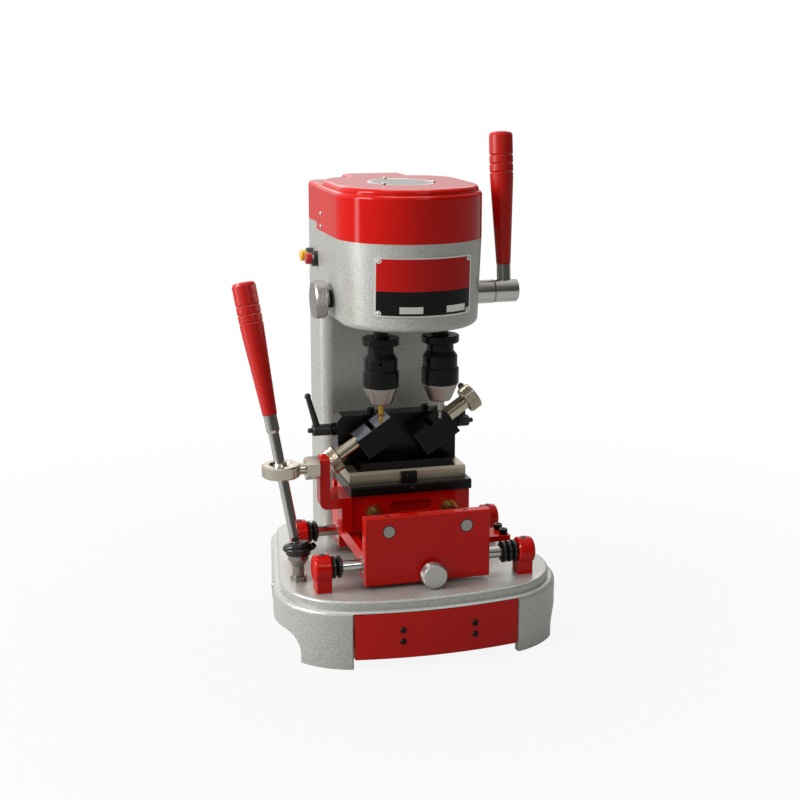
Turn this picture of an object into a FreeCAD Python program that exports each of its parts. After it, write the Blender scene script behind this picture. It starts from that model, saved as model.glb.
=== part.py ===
import FreeCAD
import Part
import math
import os

# Vertical key duplicating machine: a cutter and a tracer hang side by side over two tilting
# vises on a cross slide. Millimetres. +X is the operator's right, +Y the back, +Z up.
# The origin is on the bench, at the centre of the four bench bolts and under the midpoint
# of the two spindle axes.

Vector = FreeCAD.Vector
X_AXIS = Vector(1, 0, 0)
Y_AXIS = Vector(0, 1, 0)
Z_AXIS = Vector(0, 0, 1)

# Clearances
run_gap = 0.05
side_gap = 0.3

# Base casting
base_front_y = -110.0
base_bow_radius = 466.0
base_back_y = 185.0
base_front_half = 163.0
base_back_half = 118.0
base_front_corner = 85.0
base_back_corner = 40.0
base_skirt_height = 60.0
base_plateau_rise = 9.0
base_plateau_inset = 7.0
base_edge_round = 3.0
base_skirt_round = 5.0
base_wall = 8.0
base_deck = 10.0
mouth_round = 2.5
arch_height = 30.0
arch_front_y = -70.0
arch_length = 190.0
arch_round = 20.0
bench_bolt_half_x = 105.0
bench_bolt_half_y = 70.0
bench_bolt_radius = 3.4
bench_bolt_depth = 25.0
bench_boss_radius = 10.0
plug_screw_y = 30.0
plug_screw_drop = 12.0
plug_screw_head = 2.0
plug_screw_radius = 4.0

# Drawer
drawer_half = 85.6
drawer_bottom = 10.2
drawer_top_margin = 2.6
drawer_front_thickness = 7.0
drawer_gap = 1.0
tray_half = 80.0
tray_depth = 150.0
tray_height = 38.0
tray_wall = 2.0
runner_width = 8.0
runner_thickness = 3.0
drawer_screw_half_x = 37.8
drawer_screw_half_z = 6.0
drawer_screw_radius = 3.2
drawer_screw_head = 2.0
socket_ratio = 0.5

# Column and head casting
column_half = 73.0
column_front_y = 105.0
column_back_y = 168.0
column_corner = 14.0
column_wall = 8.0
column_foot = 10.0
head_center_y = 13.0
head_radius = 76.0
head_draft = 3.5
head_clear = 12.5
head_height = 89.0
head_back_y = 101.0
head_bottom_round = 7.0
head_wall = 7.0
head_floor = 6.0
shoulder_rise = 6.0
bridge_thickness = 8.0
bridge_half_depth = 24.0
bridge_drop = 4.0
rear_opening_half = 48.0
rear_opening_rise = 47.0
rear_opening_drop = 30.0
rear_panel_margin = 9.0
rear_panel_thickness = 3.0
panel_screw_radius = 3.0
panel_screw_head = 2.0
column_bolt_half_x = 52.0
column_bolt_y = 125.0
column_bolt_pitch_y = 26.0
column_bolt_radius = 5.0
column_bolt_head = 7.0

# Power inlet at the foot of the column's back
inlet_half_width = 14.0
inlet_half_height = 10.0
inlet_rise = 21.0
inlet_flange = 3.0
inlet_depth = 22.0
inlet_margin = 5.0

# Top cover
cover_height = 47.0
cover_wall = 3.0
cover_round = 4.0
lid_rise = 6.0
lid_inset = 3.5
lid_round = 4.5
lid_back_reach = 26.0
lid_back_corner = 48.0
lid_neck_half = 33.0
lid_neck_back_margin = 2.0
grille_half_x = 35.0
grille_half_y = 45.0
grille_center_y = 40.0
grille_thickness = 1.5
grille_lip = 4.0
grille_hole_radius = 1.9
grille_pitch = 6.0
grille_screw_radius = 2.2
grille_screw_head = 1.4
cover_screw_y = 78.0
cover_screw_low = 5.0
cover_screw_pitch = 13.5
cover_screw_radius = 2.6
cover_screw_head = 1.6

# Name plate
plate_half = 50.0
plate_rise = 16.8
plate_height = 59.5
plate_thickness = 1.0
plate_glue = 0.1
plate_pin_margin = 3.6
plate_pin_radius = 1.5
plate_pin_head = 0.8

# Spindles, quills and feed
chuck_spacing = 64.0
spindle_radius = 7.0
quill_radius = 15.0
quill_recess = 1.0
quill_length = 69.0
quill_boss_wall = 5.0
quill_boss_height = 36.0
yoke_thickness = 10.0
yoke_top_drop = 4.0
yoke_margin = 4.0
feed_y = 28.0
feed_rise = 26.0
feed_shaft_radius = 7.0
rack_module = 1.5
pinion_teeth = 16
tooth_share = 0.26
rack_half_width = 8.0
rack_back = 7.0
rack_below_axis = 5.5
feed_angle = 65.0
feed_rest_lean = 6.5
feed_boss_radius = 13.0
feed_boss_end = 97.0
feed_hub_radius = 12.5
feed_hub_length = 27.0
feed_groove = 0.6
feed_neck_radius = 7.4
feed_neck_top = 27.5
grip_length = 139.0
grip_top_radius = 12.5
grip_low_radius = 7.6
grip_straight = 57.0
grip_groove_first = 23.0
grip_groove_pitch = 9.0
grip_groove_width = 2.4
grip_groove_depth = 0.9
lock_bush_radius = 9.5
lock_bush_length = 0.5
lock_knob_radius = 19.7
lock_knob_length = 13.2
lock_collar_radius = 8.5
lock_collar_length = 3.0
lock_y = 46.0
lock_rise = 22.0
lock_stud_radius = 5.0
lock_stud_length = 10.0

# Chucks and tools, from the nose's lower end over the vise pivots
nose_rise = 38.1
nose_height = 18.0
nose_low_radius = 11.5
nose_top_radius = 18.3
sleeve_height = 18.4
sleeve_radius = 19.6
chuck_body_height = 17.0
chuck_body_radius = 18.0
chuck_body_taper = 5.5
chuck_neck_height = 8.5
chuck_neck_radius = 14.0
collar_height = 8.0
collar_radius = 19.6
key_hole_radius = 2.4
key_hole_depth = 6.0
key_hole_turns = {"left": -15.0, "right": -62.0}
tool_radius = 3.0
tool_grip_depth = 16.0
cutter_drop = 20.3
cutter_tip_radius = 2.0
cutter_tip_length = 7.0
tracer_drop = 20.6
tracer_tip_radius = 1.6
tracer_tip_length = 8.0

# Belt drive under the cover
pulley_low_gap = 5.0
pulley_height = 16.0
spindle_pulley_radius = 22.0
spindle_pulley_hub_radius = 15.0
spindle_pulley_sleeve_radius = 12.0
motor_pulley_radius = 18.0
belt_thickness = 4.0
belt_inset = 2.0
motor_y = 98.0
motor_radius = 42.0
motor_height = 70.0
motor_wall = 5.0
motor_shaft_radius = 5.0
rotor_radius = 26.0
rotor_end_gap = 6.0

# Push buttons on the column's left side
button_rise = 56.0
stop_button_y = 110.0
button_pitch_y = 28.0
bezel_radius = 8.4
bezel_length = 7.5
switch_body_radius = 7.0
switch_body_length = 20.0
button_radius = 6.0
button_proud = 6.5
button_travel = 3.0

# X rods, pedestals and bumpers
x_rod_radius = 6.0
x_rod_rise = 24.0
x_rod_front_y = -54.0
x_rod_pitch_y = 117.0
pedestal_inner_x = 100.0
pedestal_length = 18.0
pedestal_head_radius = 14.0
pedestal_foot_width = 19.0
pedestal_foot_inset = 2.5
pedestal_chamfer = 1.5
pedestal_round = 4.0
rod_seat = 14.0
bumper_radius = 11.5
bumper_rib = 6.0
bumper_waist = 8.5
left_bumper_ribs = 2
right_bumper_ribs = 3

# Lower carriage
carriage_half = 66.5
carriage_floor_gap = 4.0
front_plate_thickness = 11.0
front_plate_height = 72.0
rod_cover = 3.5
beam_below = 16.0
beam_above = 13.5
side_rail_thickness = 8.0
side_rail_height = 14.0
rear_plate_thickness = 10.0
x_bushing_wall = 3.5
x_bushing_length = 26.0
set_screw_radius = 2.5
set_screw_length = 5.0
flange_reach = 34.0
flange_drop = 3.0
flange_thickness = 6.0
cap_screw_y = -12.0
cap_screw_pitch = 17.0
cap_screw_margin = 6.0
cap_screw_radius = 4.5
cap_screw_head = 6.0
carriage_lock_x = 3.5
carriage_lock_rise = 9.5
carriage_lock_radius = 13.0
carriage_lock_length = 13.0
carriage_lock_neck = 3.0
carriage_lock_stud_radius = 4.0

# Y rods and upper carriage
y_rod_radius = 6.0
y_rod_half = 41.2
y_rod_rise = 36.7
upper_half = 65.0
upper_front_y = -2.0
upper_depth = 64.0
upper_floor_gap = 3.5
upper_above_rod = 20.3
brass_wall = 3.5
brass_length = 22.0
brass_proud = 5.0
slot_half = 23.5
slot_height = 12.0
slot_rise = 5.0
slot_depth = 9.0

# Cross plate, table and vise carrier
cross_plate_half = 66.0
cross_plate_thickness = 10.0
cross_plate_front_lap = 4.0
cross_plate_back_lap = 2.0
clip_half = 8.5
clip_thickness = 5.0
clip_height = 10.0
table_half = 64.0
table_thickness = 11.5
table_front_y = 9.0
table_chamfer = 2.5
carrier_half = 62.0
carrier_step_gap = 0.5
carrier_step_height = 8.5
carrier_height = 54.5
carrier_corner = 5.0
carrier_ends = {"left": 69.0, "right": 62.0}
carrier_screw_x = 30.0
carrier_screw_radius = 4.0
carrier_screw_head = 5.0
carrier_notch = 12.0

# Vises, in their own frame: a runs towards the clamp knob, b is up from the pivot
vise_tilt = 34.0
vise_pivot_rise = 38.0
vise_front_y = 12.0
vise_depth = 28.0
vise_half_length = 21.7
vise_below = 15.3
vise_above = 12.7
vise_floor = 7.0
vise_cheek = 5.0
vise_end_wall = 4.7
vise_pivot_radius = 8.0
vise_pivot_length = 17.0
jaw_gap = 6.0
jaw_length = 10.8
jaw_top_drop = 0.3
jaw_lip = 4.0
jaw_cap_end = 20.5
clamp_screw_b = 3.2
clamp_screw_radius = 7.9
clamp_knob_start = 45.0
clamp_knob_radius = 13.8
clamp_knob_length = 14.0

# Clamp levers on the carrier's sides
clamp_lever_rise = 38.5
clamp_hub_radius = 6.2
clamp_hub_length = {"left": 20.0, "right": 13.0}
clamp_pin_radius = 2.6
clamp_pin_length = 4.8
clamp_stud_radius = 4.0
clamp_stud_length = 10.0
clamp_boss_radius = 7.0
clamp_boss_length = 5.0
clamp_handle_length = 39.0
clamp_handle_lean = {"left": 16.0, "right": -4.0}
clamp_handle_radius = 3.7
clamp_handle_tip_radius = 2.7
clamp_handle_ball_radius = 3.5

# Lever bracket and rod end
bracket_thickness = 11.0
bracket_half_width = 8.0
bracket_reach = 34.0
bracket_foot = 11.0
bracket_flange_depth = 44.0
bracket_flange_height = 37.0
bracket_top_above_eye = 14.0
eye_x = -138.0
eye_y = 2.0
eye_rise = 11.5
eye_radius = 20.0
eye_height = 13.0
eye_bore_radius = 9.4
eye_mouth_radius = 12.4
eye_shank_radius = 6.0
rod_nut_radius = 12.5
rod_nut_length = 13.5

# Joystick lever and its socket
lever_pivot_x = -125.5
lever_pivot_y = -18.0
lever_pivot_rise = 28.0
lever_ball_radius = 8.0
lever_slot_half = 3.0
lever_pin_radius = 2.0
lever_rod_radius = 5.5
lever_neck_radius = 3.5
lever_neck_length = 5.0
lever_rod_length = 132.0
lever_ferrule_start = 128.0
lever_ferrule_length = 19.0
lever_ferrule_radius = 7.0
socket_flange_radius = 8.6
socket_flange_height = 6.0
socket_post_radius = 6.0
socket_post_height = 10.0
socket_cup_radius = 10.7
socket_bowl_height = 8.0
socket_rim_rise = 4.0
boot_major_radius = 11.9
boot_minor_radius = 2.7
boot_rise = 6.5

# Heights and places worked out from the sizes above
deck_z = base_skirt_height + base_plateau_rise
drawer_height = base_skirt_height - drawer_top_margin - drawer_bottom
x_rod_z = deck_z + x_rod_rise
x_rod_ys = (x_rod_front_y, x_rod_front_y + x_rod_pitch_y)
y_rod_z = x_rod_z + y_rod_rise
x_bushing_radius = x_rod_radius + run_gap + x_bushing_wall
carriage_front_y = x_rod_front_y - x_bushing_radius - rod_cover
carriage_back_y = x_rod_ys[1] + x_bushing_radius + rear_plate_thickness
carriage_bottom_z = deck_z + carriage_floor_gap
beam_top_z = x_rod_z + beam_above
flange_top_z = beam_top_z - flange_drop
upper_bottom_z = beam_top_z + upper_floor_gap
upper_top_z = y_rod_z + upper_above_rod
upper_back_y = upper_front_y + upper_depth
table_bottom_z = upper_top_z + cross_plate_thickness
table_top_z = table_bottom_z + table_thickness
vise_z = table_top_z + vise_pivot_rise
vise_back_y = vise_front_y + vise_depth
carrier_face_y = vise_back_y + side_gap
clamp_lever_y = (carrier_face_y + upper_back_y) / 2
clamp_lever_z = table_top_z + clamp_lever_rise
lever_pivot_z = deck_z + lever_pivot_rise
eye_z = table_top_z + eye_rise
nose_bottom_z = vise_z + nose_rise
chuck_height = nose_height + sleeve_height + chuck_body_height + chuck_neck_height + collar_height
head_bottom_z = nose_bottom_z + chuck_height + head_clear
head_top_z = head_bottom_z + head_height
quill_bottom_z = head_bottom_z + quill_recess
feed_z = head_bottom_z + feed_rise
lock_z = head_bottom_z + lock_rise
plate_bottom = head_bottom_z + plate_rise
button_z = head_bottom_z + button_rise
inlet_z = deck_z + inlet_rise
plug_screw_z = base_skirt_height - plug_screw_drop
rear_opening_bottom = deck_z + rear_opening_rise
rear_opening_height = head_bottom_z - rear_opening_drop - rear_opening_bottom
spindle_xs = {"left": -chuck_spacing / 2, "right": chuck_spacing / 2}
knob_side = {"left": -1, "right": 1}
pinion_radius = rack_module * pinion_teeth / 2
feed_travel = pinion_radius * math.radians(feed_angle)
shoulder_z = head_top_z + shoulder_rise
cover_top_z = head_top_z + cover_height
bridge_top_z = head_top_z - bridge_drop
pulley_z = head_top_z + pulley_low_gap


def box(x0, x1, y0, y1, z0, z1):
    """Block between two corners."""
    return Part.makeBox(x1 - x0, y1 - y0, z1 - z0, Vector(x0, y0, z0))


def along_x(x0, x1, y, z, radius):
    """Cylinder along X."""
    return Part.makeCylinder(radius, x1 - x0, Vector(x0, y, z), X_AXIS)


def along_y(y0, y1, x, z, radius):
    """Cylinder along Y."""
    return Part.makeCylinder(radius, y1 - y0, Vector(x, y0, z), Y_AXIS)


def along_z(z0, z1, x, y, radius):
    """Cylinder along Z."""
    return Part.makeCylinder(radius, z1 - z0, Vector(x, y, z0), Z_AXIS)


def fuse(*shapes):
    """Join solids into one clean solid."""
    return shapes[0].multiFuse(list(shapes[1:])).removeSplitter()


def cut(shape, *tools):
    """Take tools away from a solid."""
    return shape.cut(list(tools)).removeSplitter()


def turned(points, x=0.0, y=0.0):
    """Solid of revolution about a vertical axis from (radius, z) points."""
    corners = [Vector(x + radius, y, z) for radius, z in points]
    profile = Part.Face(Part.makePolygon(corners + corners[:1]))
    return profile.revolve(Vector(x, y, 0), Z_AXIS, 360)


def hex_prism(radius, height):
    """Upright hexagon on the origin; radius reaches its corners."""
    corners = []
    for turn in range(6):
        angle = math.radians(60 * turn)
        corners.append(Vector(radius * math.cos(angle), radius * math.sin(angle), 0))
    return Part.Face(Part.makePolygon(corners + corners[:1])).extrude(Vector(0, 0, height))


def rounded(shape, radius, wanted):
    """Fillet the edges whose middle point passes the test."""
    edges = [edge for edge in shape.Edges if wanted(edge.CenterOfMass)]
    return shape.makeFillet(radius, edges)


def bevelled(shape, size, wanted):
    """Chamfer the edges whose middle point passes the test."""
    edges = [edge for edge in shape.Edges if wanted(edge.CenterOfMass)]
    return shape.makeChamfer(size, edges)


def upright_edges(shape, wanted):
    """Vertical edges whose middle point passes the test."""
    found = []
    for edge in shape.Edges:
        low, high = edge.BoundBox.ZMin, edge.BoundBox.ZMax
        flat = max(edge.BoundBox.XLength, edge.BoundBox.YLength)
        if high - low > 1 and flat < 0.001 and wanted(edge.CenterOfMass):
            found.append(edge)
    return found


def near(value, target):
    """True when two lengths agree to a hundredth of a millimetre."""
    return abs(value - target) < 0.01


def group(shapes):
    """Separate like solids that share a node."""
    return Part.makeCompound(shapes)


def bow_y(x, inset=0.0):
    """Y of the base's bowed front at a given x."""
    radius = base_bow_radius - inset
    return base_front_y + base_bow_radius - math.sqrt(radius ** 2 - x ** 2)


def base_block():
    """Skirt outline of the base, raised to the skirt's height, with its round corners."""
    front_left = Vector(-base_front_half, bow_y(base_front_half), 0)
    front_right = Vector(base_front_half, bow_y(base_front_half), 0)
    back_right = Vector(base_back_half, base_back_y, 0)
    back_left = Vector(-base_back_half, base_back_y, 0)
    outline = Part.Wire([
        Part.Arc(front_left, Vector(0, base_front_y, 0), front_right).toShape(),
        Part.makeLine(front_right, back_right),
        Part.makeLine(back_right, back_left),
        Part.makeLine(back_left, front_left),
    ])
    block = Part.Face(outline).extrude(Vector(0, 0, base_skirt_height))
    block = block.makeFillet(base_front_corner, upright_edges(block, lambda p: p.y < 0))
    return block.makeFillet(
        base_back_corner, upright_edges(block, lambda p: near(p.y, base_back_y)))


def bench_bolt_places():
    """Centres of the four bench bolts."""
    return [(sx * bench_bolt_half_x, sy * bench_bolt_half_y)
            for sx in (-1, 1) for sy in (-1, 1)]


def plug_screw_rod(radius, inside, outside):
    """Cylinder square to the base's left side wall at the plug screw."""
    front = Vector(-base_front_half, bow_y(base_front_half), plug_screw_z)
    back = Vector(-base_back_half, base_back_y, plug_screw_z)
    wall = back - front
    seat = front + wall * ((plug_screw_y - front.y) / wall.y)
    outward = Vector(-wall.y, wall.x, 0).normalize()
    return Part.makeCylinder(radius, inside + outside, seat - outward * inside, outward)


def plug_screw():
    """Socket plug screw in the base's left side wall."""
    head = plug_screw_rod(plug_screw_radius, 0, plug_screw_head)
    shank = plug_screw_rod(plug_screw_radius / 2, base_wall / 2, plug_screw_head)
    socket = plug_screw_rod(plug_screw_radius * socket_ratio, -plug_screw_head / 2,
                            2 * plug_screw_head)
    return cut(fuse(head, shank), socket)


def mouth_edge(side, mouth_half, mouth_top):
    """What the mouth's upright edge loses, so that it turns round into the bowed front."""
    x = mouth_half + mouth_round
    center = Vector(side * x, bow_y(x, mouth_round), -1)
    outward = center - Vector(0, base_front_y + base_bow_radius, -1)
    beyond = center + outward.normalize() * 2 * mouth_round
    inside_x = side * (mouth_half - mouth_round)
    corners = [center, Vector(inside_x, center.y, -1), Vector(inside_x, beyond.y, -1), beyond]
    wedge = Part.Face(Part.makePolygon(corners + corners[:1])).extrude(Vector(0, 0, mouth_top + 1))
    return wedge.cut(along_z(-1, mouth_top, center.x, center.y, mouth_round))


def base_casting():
    """Hollow casting: skirt, raised deck, drawer mouth, side arches, runners and bosses."""
    skirt = base_block()
    outline = skirt.slice(Z_AXIS, base_skirt_height / 2)[0]
    skirt = rounded(skirt, base_skirt_round, lambda p: near(p.z, base_skirt_height))
    deck = Part.Face(outline.makeOffset2D(-base_plateau_inset))
    deck.translate(Vector(0, 0, base_skirt_height / 2))
    deck = deck.extrude(Vector(0, 0, base_plateau_rise))
    deck = rounded(deck, base_edge_round, lambda p: near(p.z, deck_z))
    hollow = Part.Face(outline.makeOffset2D(-base_wall))
    hollow.translate(Vector(0, 0, -base_skirt_height))
    hollow = hollow.extrude(Vector(0, 0, base_skirt_height / 2 + deck_z - base_deck))
    mouth_half = drawer_half + drawer_gap
    mouth_top = drawer_bottom + drawer_height + drawer_gap
    mouth = box(-mouth_half, mouth_half, base_front_y - 1, -bench_bolt_half_y,
                drawer_bottom - drawer_gap, mouth_top)
    under_mouth = box(-mouth_half, mouth_half, base_front_y - 1, -bench_bolt_half_y,
                      -1, drawer_bottom)
    arch = box(-base_front_half, base_front_half, arch_front_y, arch_front_y + arch_length,
               -arch_round, arch_height)
    edges = [edge for edge in arch.Edges
             if near(edge.CenterOfMass.z, arch_height) and near(edge.CenterOfMass.x, 0)]
    arch = arch.makeFillet(arch_round, edges)
    casting = cut(fuse(skirt, deck), hollow, mouth, under_mouth, arch,
                  mouth_edge(-1, mouth_half, mouth_top), mouth_edge(1, mouth_half, mouth_top))
    bosses = [along_z(0, deck_z - base_deck / 2, x, y, bench_boss_radius)
              for x, y in bench_bolt_places()]
    runners = []
    for side in (-1, 1):
        inner = side * (tray_half - runner_width)
        outer = side * bench_bolt_half_x
        runner_top = drawer_bottom + tray_wall - side_gap
        runners.append(box(min(inner, outer), max(inner, outer), -bench_bolt_half_y,
                           bench_bolt_half_y, runner_top - runner_thickness, runner_top))
    casting = fuse(casting, *bosses, *runners)
    holes = [along_z(-1, bench_bolt_depth, x, y, bench_bolt_radius)
             for x, y in bench_bolt_places()]
    bolts = [along_z(deck_z - base_deck - 1, deck_z + 1, x, y, column_bolt_radius)
             for x, y in column_bolt_places()]
    plug_hole = plug_screw_rod(plug_screw_radius / 2, base_wall / 2, 1)
    return cut(casting, *holes, *bolts, plug_hole)


def column_bolt_places():
    """Centres of the four bolts that hold the column on the base."""
    return [(side * column_bolt_half_x, column_bolt_y + step * column_bolt_pitch_y)
            for side in (-1, 1) for step in (0, 1)]


def column_bolts():
    """Hex bolts up through the deck into the column's foot."""
    bolts = []
    for x, y in column_bolt_places():
        head = hex_prism(2 * column_bolt_radius, column_bolt_head)
        head.translate(Vector(x, y, deck_z - base_deck - column_bolt_head))
        shank = along_z(deck_z - base_deck, deck_z + column_foot, x, y, column_bolt_radius)
        bolts.append(fuse(head, shank))
    return bolts


def drawer_front():
    """Bowed red front, flush with the base's bow."""
    z0 = drawer_bottom
    z1 = drawer_bottom + drawer_height
    back_y = bow_y(drawer_half) + drawer_front_thickness
    left = Vector(-drawer_half, bow_y(drawer_half), z0)
    right = Vector(drawer_half, bow_y(drawer_half), z0)
    outline = Part.Wire([
        Part.Arc(left, Vector(0, base_front_y, z0), right).toShape(),
        Part.makeLine(right, Vector(drawer_half, back_y, z0)),
        Part.makeLine(Vector(drawer_half, back_y, z0), Vector(-drawer_half, back_y, z0)),
        Part.makeLine(Vector(-drawer_half, back_y, z0), left),
    ])
    front = Part.Face(outline).extrude(Vector(0, 0, z1 - z0))
    holes = [along_y(base_front_y - 1, back_y + 1, x, z, drawer_screw_radius / 2)
             for x, z in drawer_screw_places()]
    return cut(front, *holes)


def drawer_screw_places():
    """Places of the four screws in the drawer front."""
    middle_z = drawer_bottom + drawer_height / 2
    return [(sx * drawer_screw_half_x, middle_z + sz * drawer_screw_half_z)
            for sx in (-1, 1) for sz in (-1, 1)]


def drawer_screws():
    """Button head socket screws that hold the front on the tray."""
    screws = []
    back_y = bow_y(drawer_half) + drawer_front_thickness
    for x, z in drawer_screw_places():
        seat_y = bow_y(x) + side_gap
        head = along_y(seat_y - drawer_screw_head - side_gap, bow_y(abs(x) + drawer_screw_radius),
                       x, z, drawer_screw_radius)
        head = cut(head, drawer_front())
        shank = along_y(bow_y(x), back_y, x, z, drawer_screw_radius / 2)
        socket = along_y(seat_y - 2 * drawer_screw_head, seat_y - drawer_screw_head / 2, x, z,
                         drawer_screw_radius * socket_ratio)
        screws.append(cut(fuse(head, shank), socket))
    return group(screws)


def drawer_tray():
    """Open sheet tray behind the front."""
    front_y = bow_y(drawer_half) + drawer_front_thickness
    z0 = drawer_bottom + tray_wall
    outer = box(-tray_half, tray_half, front_y, front_y + tray_depth, z0, z0 + tray_height)
    inner = box(-tray_half + tray_wall, tray_half - tray_wall, front_y + tray_wall,
                front_y + tray_depth - tray_wall, z0 + tray_wall, z0 + tray_height + 1)
    return cut(outer, inner)


def head_outline(radius, z, back_y):
    """Plan of the head: a half round front with straight sides."""
    left = Vector(-radius, head_center_y, z)
    right = Vector(radius, head_center_y, z)
    back_left = Vector(-radius, back_y, z)
    back_right = Vector(radius, back_y, z)
    return Part.Wire([
        Part.Arc(left, Vector(0, head_center_y - radius, z), right).toShape(),
        Part.makeLine(right, back_right),
        Part.makeLine(back_right, back_left),
        Part.makeLine(back_left, left),
    ])


def head_solid(grow):
    """The head's outer form with its draft, grown outwards by a thickness."""
    low = head_outline(head_radius - head_draft + grow, head_bottom_z, head_back_y)
    high = head_outline(head_radius + grow, head_top_z, head_back_y)
    return Part.makeLoft([low, high], True, True)


def column_block(z0, z1, shrink=0.0):
    """Column section between two heights, with round corners."""
    block = box(-column_half + shrink, column_half - shrink, column_front_y + shrink,
                column_back_y - shrink, z0, z1)
    return block.makeFillet(column_corner - shrink / 2, upright_edges(block, lambda p: True))


def upper_block(z0, z1, front_y, shrink=0.0):
    """Rear part of the head above the column, round at its back corners only."""
    back_y = column_back_y - shrink
    block = box(-column_half + shrink, column_half - shrink, front_y, back_y, z0, z1)
    return block.makeFillet(column_corner - shrink / 2,
                            upright_edges(block, lambda p: near(p.y, back_y)))


def spindle_places():
    """X of the cutter spindle and of the tracer spindle."""
    return [spindle_xs["left"], spindle_xs["right"]]


def column_casting():
    """Column and head in one hollow casting, with quill bosses and a pulley bridge."""
    head = rounded(head_solid(0), head_bottom_round,
                   lambda p: near(p.z, head_bottom_z) and p.y < head_back_y - 1)
    casting = fuse(head, column_block(deck_z, head_top_z),
                   upper_block(head_bottom_z, head_top_z, head_back_y - head_wall),
                   upper_block(head_top_z, shoulder_z, head_back_y))
    cavity_back_y = column_back_y - column_wall
    cavity_outline = head_outline(head_radius - head_draft - head_wall,
                                  head_bottom_z + head_floor, cavity_back_y)
    cavity = Part.Face(cavity_outline).extrude(Vector(0, 0, cover_height + head_top_z
                                                      - head_bottom_z))
    side_trim = column_half - column_wall
    keep = fuse(box(-head_radius, head_radius, -head_radius, column_front_y,
                    0, 2 * head_top_z),
                box(-side_trim, side_trim, column_front_y - 1, cavity_back_y,
                    0, 2 * head_top_z))
    cavity = cavity.common(keep)
    shaft_room = column_block(deck_z + column_foot, head_bottom_z, column_wall)
    rear_opening = box(-rear_opening_half, rear_opening_half, column_back_y - column_wall - 1,
                       column_back_y + 1, rear_opening_bottom,
                       rear_opening_bottom + rear_opening_height)
    casting = cut(casting, cavity, shaft_room, rear_opening)
    boss_radius = quill_radius + run_gap + quill_boss_wall
    bosses = [along_z(head_bottom_z + head_floor / 2, head_bottom_z + quill_boss_height, x, 0,
                      boss_radius) for x in spindle_places()]
    inner_half = head_radius - head_draft - head_wall
    bridge = box(-inner_half - 1, inner_half + 1, -bridge_half_depth, bridge_half_depth,
                 bridge_top_z - bridge_thickness, bridge_top_z)
    bridge = bridge.common(head_solid(-head_wall / 2))
    shaft_boss_radius = feed_shaft_radius + run_gap + quill_boss_wall
    left_boss = along_x(-inner_half - 1, -inner_half + quill_boss_wall, feed_y, feed_z,
                        shaft_boss_radius)
    right_boss = along_x(inner_half - quill_boss_wall, inner_half + 1, feed_y, feed_z,
                         shaft_boss_radius)
    casting = fuse(casting, *bosses, bridge, left_boss, right_boss)
    tools = [along_z(head_bottom_z - 1, head_bottom_z + quill_boss_height + 1, x, 0,
                     quill_radius + run_gap) for x in spindle_places()]
    tools.append(along_z(bridge_top_z - bridge_thickness - 1, bridge_top_z + 1,
                         spindle_xs["left"], 0, spindle_pulley_sleeve_radius + run_gap))
    tools.append(along_x(-inner_half, head_radius + 2, feed_y, feed_z,
                         feed_shaft_radius + run_gap))
    tools.append(along_x(-head_radius - 2, -inner_half + 1, lock_y, lock_z,
                         lock_stud_radius + run_gap))
    for y in button_places():
        tools.append(along_x(-column_half - 1, -column_half + column_wall + 1, y, button_z,
                             switch_body_radius))
    tools.append(box(-inlet_half_width, inlet_half_width, column_back_y - column_wall - 1,
                     column_back_y + 1, inlet_z - inlet_half_height,
                     inlet_z + inlet_half_height))
    for x, y in column_bolt_places():
        tools.append(along_z(deck_z - 1, deck_z + column_foot, x, y, column_bolt_radius))
    for x, z in panel_screw_places():
        tools.append(along_y(column_back_y - column_wall / 2, column_back_y + 1, x, z,
                             panel_screw_radius / 2))
    return cut(casting, *tools)


def panel_screw_places():
    """Corners of the rear panel, where its screws go."""
    x = rear_opening_half + rear_panel_margin / 2
    low = rear_opening_bottom - rear_panel_margin / 2
    high = rear_opening_bottom + rear_opening_height + rear_panel_margin / 2
    return [(-x, low), (x, low), (-x, high), (x, high)]


def rear_panel():
    """Flat lid over the opening in the column's back."""
    half = rear_opening_half + rear_panel_margin
    low = rear_opening_bottom - rear_panel_margin
    high = rear_opening_bottom + rear_opening_height + rear_panel_margin
    panel = box(-half, half, column_back_y, column_back_y + rear_panel_thickness, low, high)
    panel = bevelled(panel, rear_panel_thickness / 3,
                     lambda p: near(p.y, column_back_y + rear_panel_thickness))
    holes = [along_y(column_back_y - 1, column_back_y + rear_panel_thickness + 1, x, z,
                     panel_screw_radius / 2) for x, z in panel_screw_places()]
    return cut(panel, *holes)


def panel_screws():
    """Pan head screws at the rear panel's corners."""
    outside = column_back_y + rear_panel_thickness
    screws = []
    for x, z in panel_screw_places():
        head = along_y(outside, outside + panel_screw_head, x, z, panel_screw_radius)
        shank = along_y(column_back_y - column_wall / 2, outside, x, z, panel_screw_radius / 2)
        screws.append(fuse(head, shank))
    return screws


def power_inlet():
    """Three pin inlet socket in the column's back."""
    flange = box(-inlet_half_width - inlet_margin, inlet_half_width + inlet_margin,
                 column_back_y, column_back_y + inlet_flange,
                 inlet_z - inlet_half_height - inlet_margin / 2,
                 inlet_z + inlet_half_height + inlet_margin / 2)
    body = box(-inlet_half_width, inlet_half_width, column_back_y - inlet_depth, column_back_y,
               inlet_z - inlet_half_height, inlet_z + inlet_half_height)
    wall = inlet_margin / 2
    socket = box(-inlet_half_width + wall, inlet_half_width - wall,
                 column_back_y - inlet_depth + wall, column_back_y + inlet_flange + 1,
                 inlet_z - inlet_half_height + wall, inlet_z + inlet_half_height - wall)
    inlet = cut(fuse(flange, body), socket)
    pins = []
    for x in (-inlet_half_width / 2, 0, inlet_half_width / 2):
        pins.append(box(x - 1, x + 1, column_back_y - inlet_depth + wall / 2, column_back_y - 1,
                        inlet_z - 3, inlet_z + 3))
    return fuse(inlet, *pins)


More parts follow.
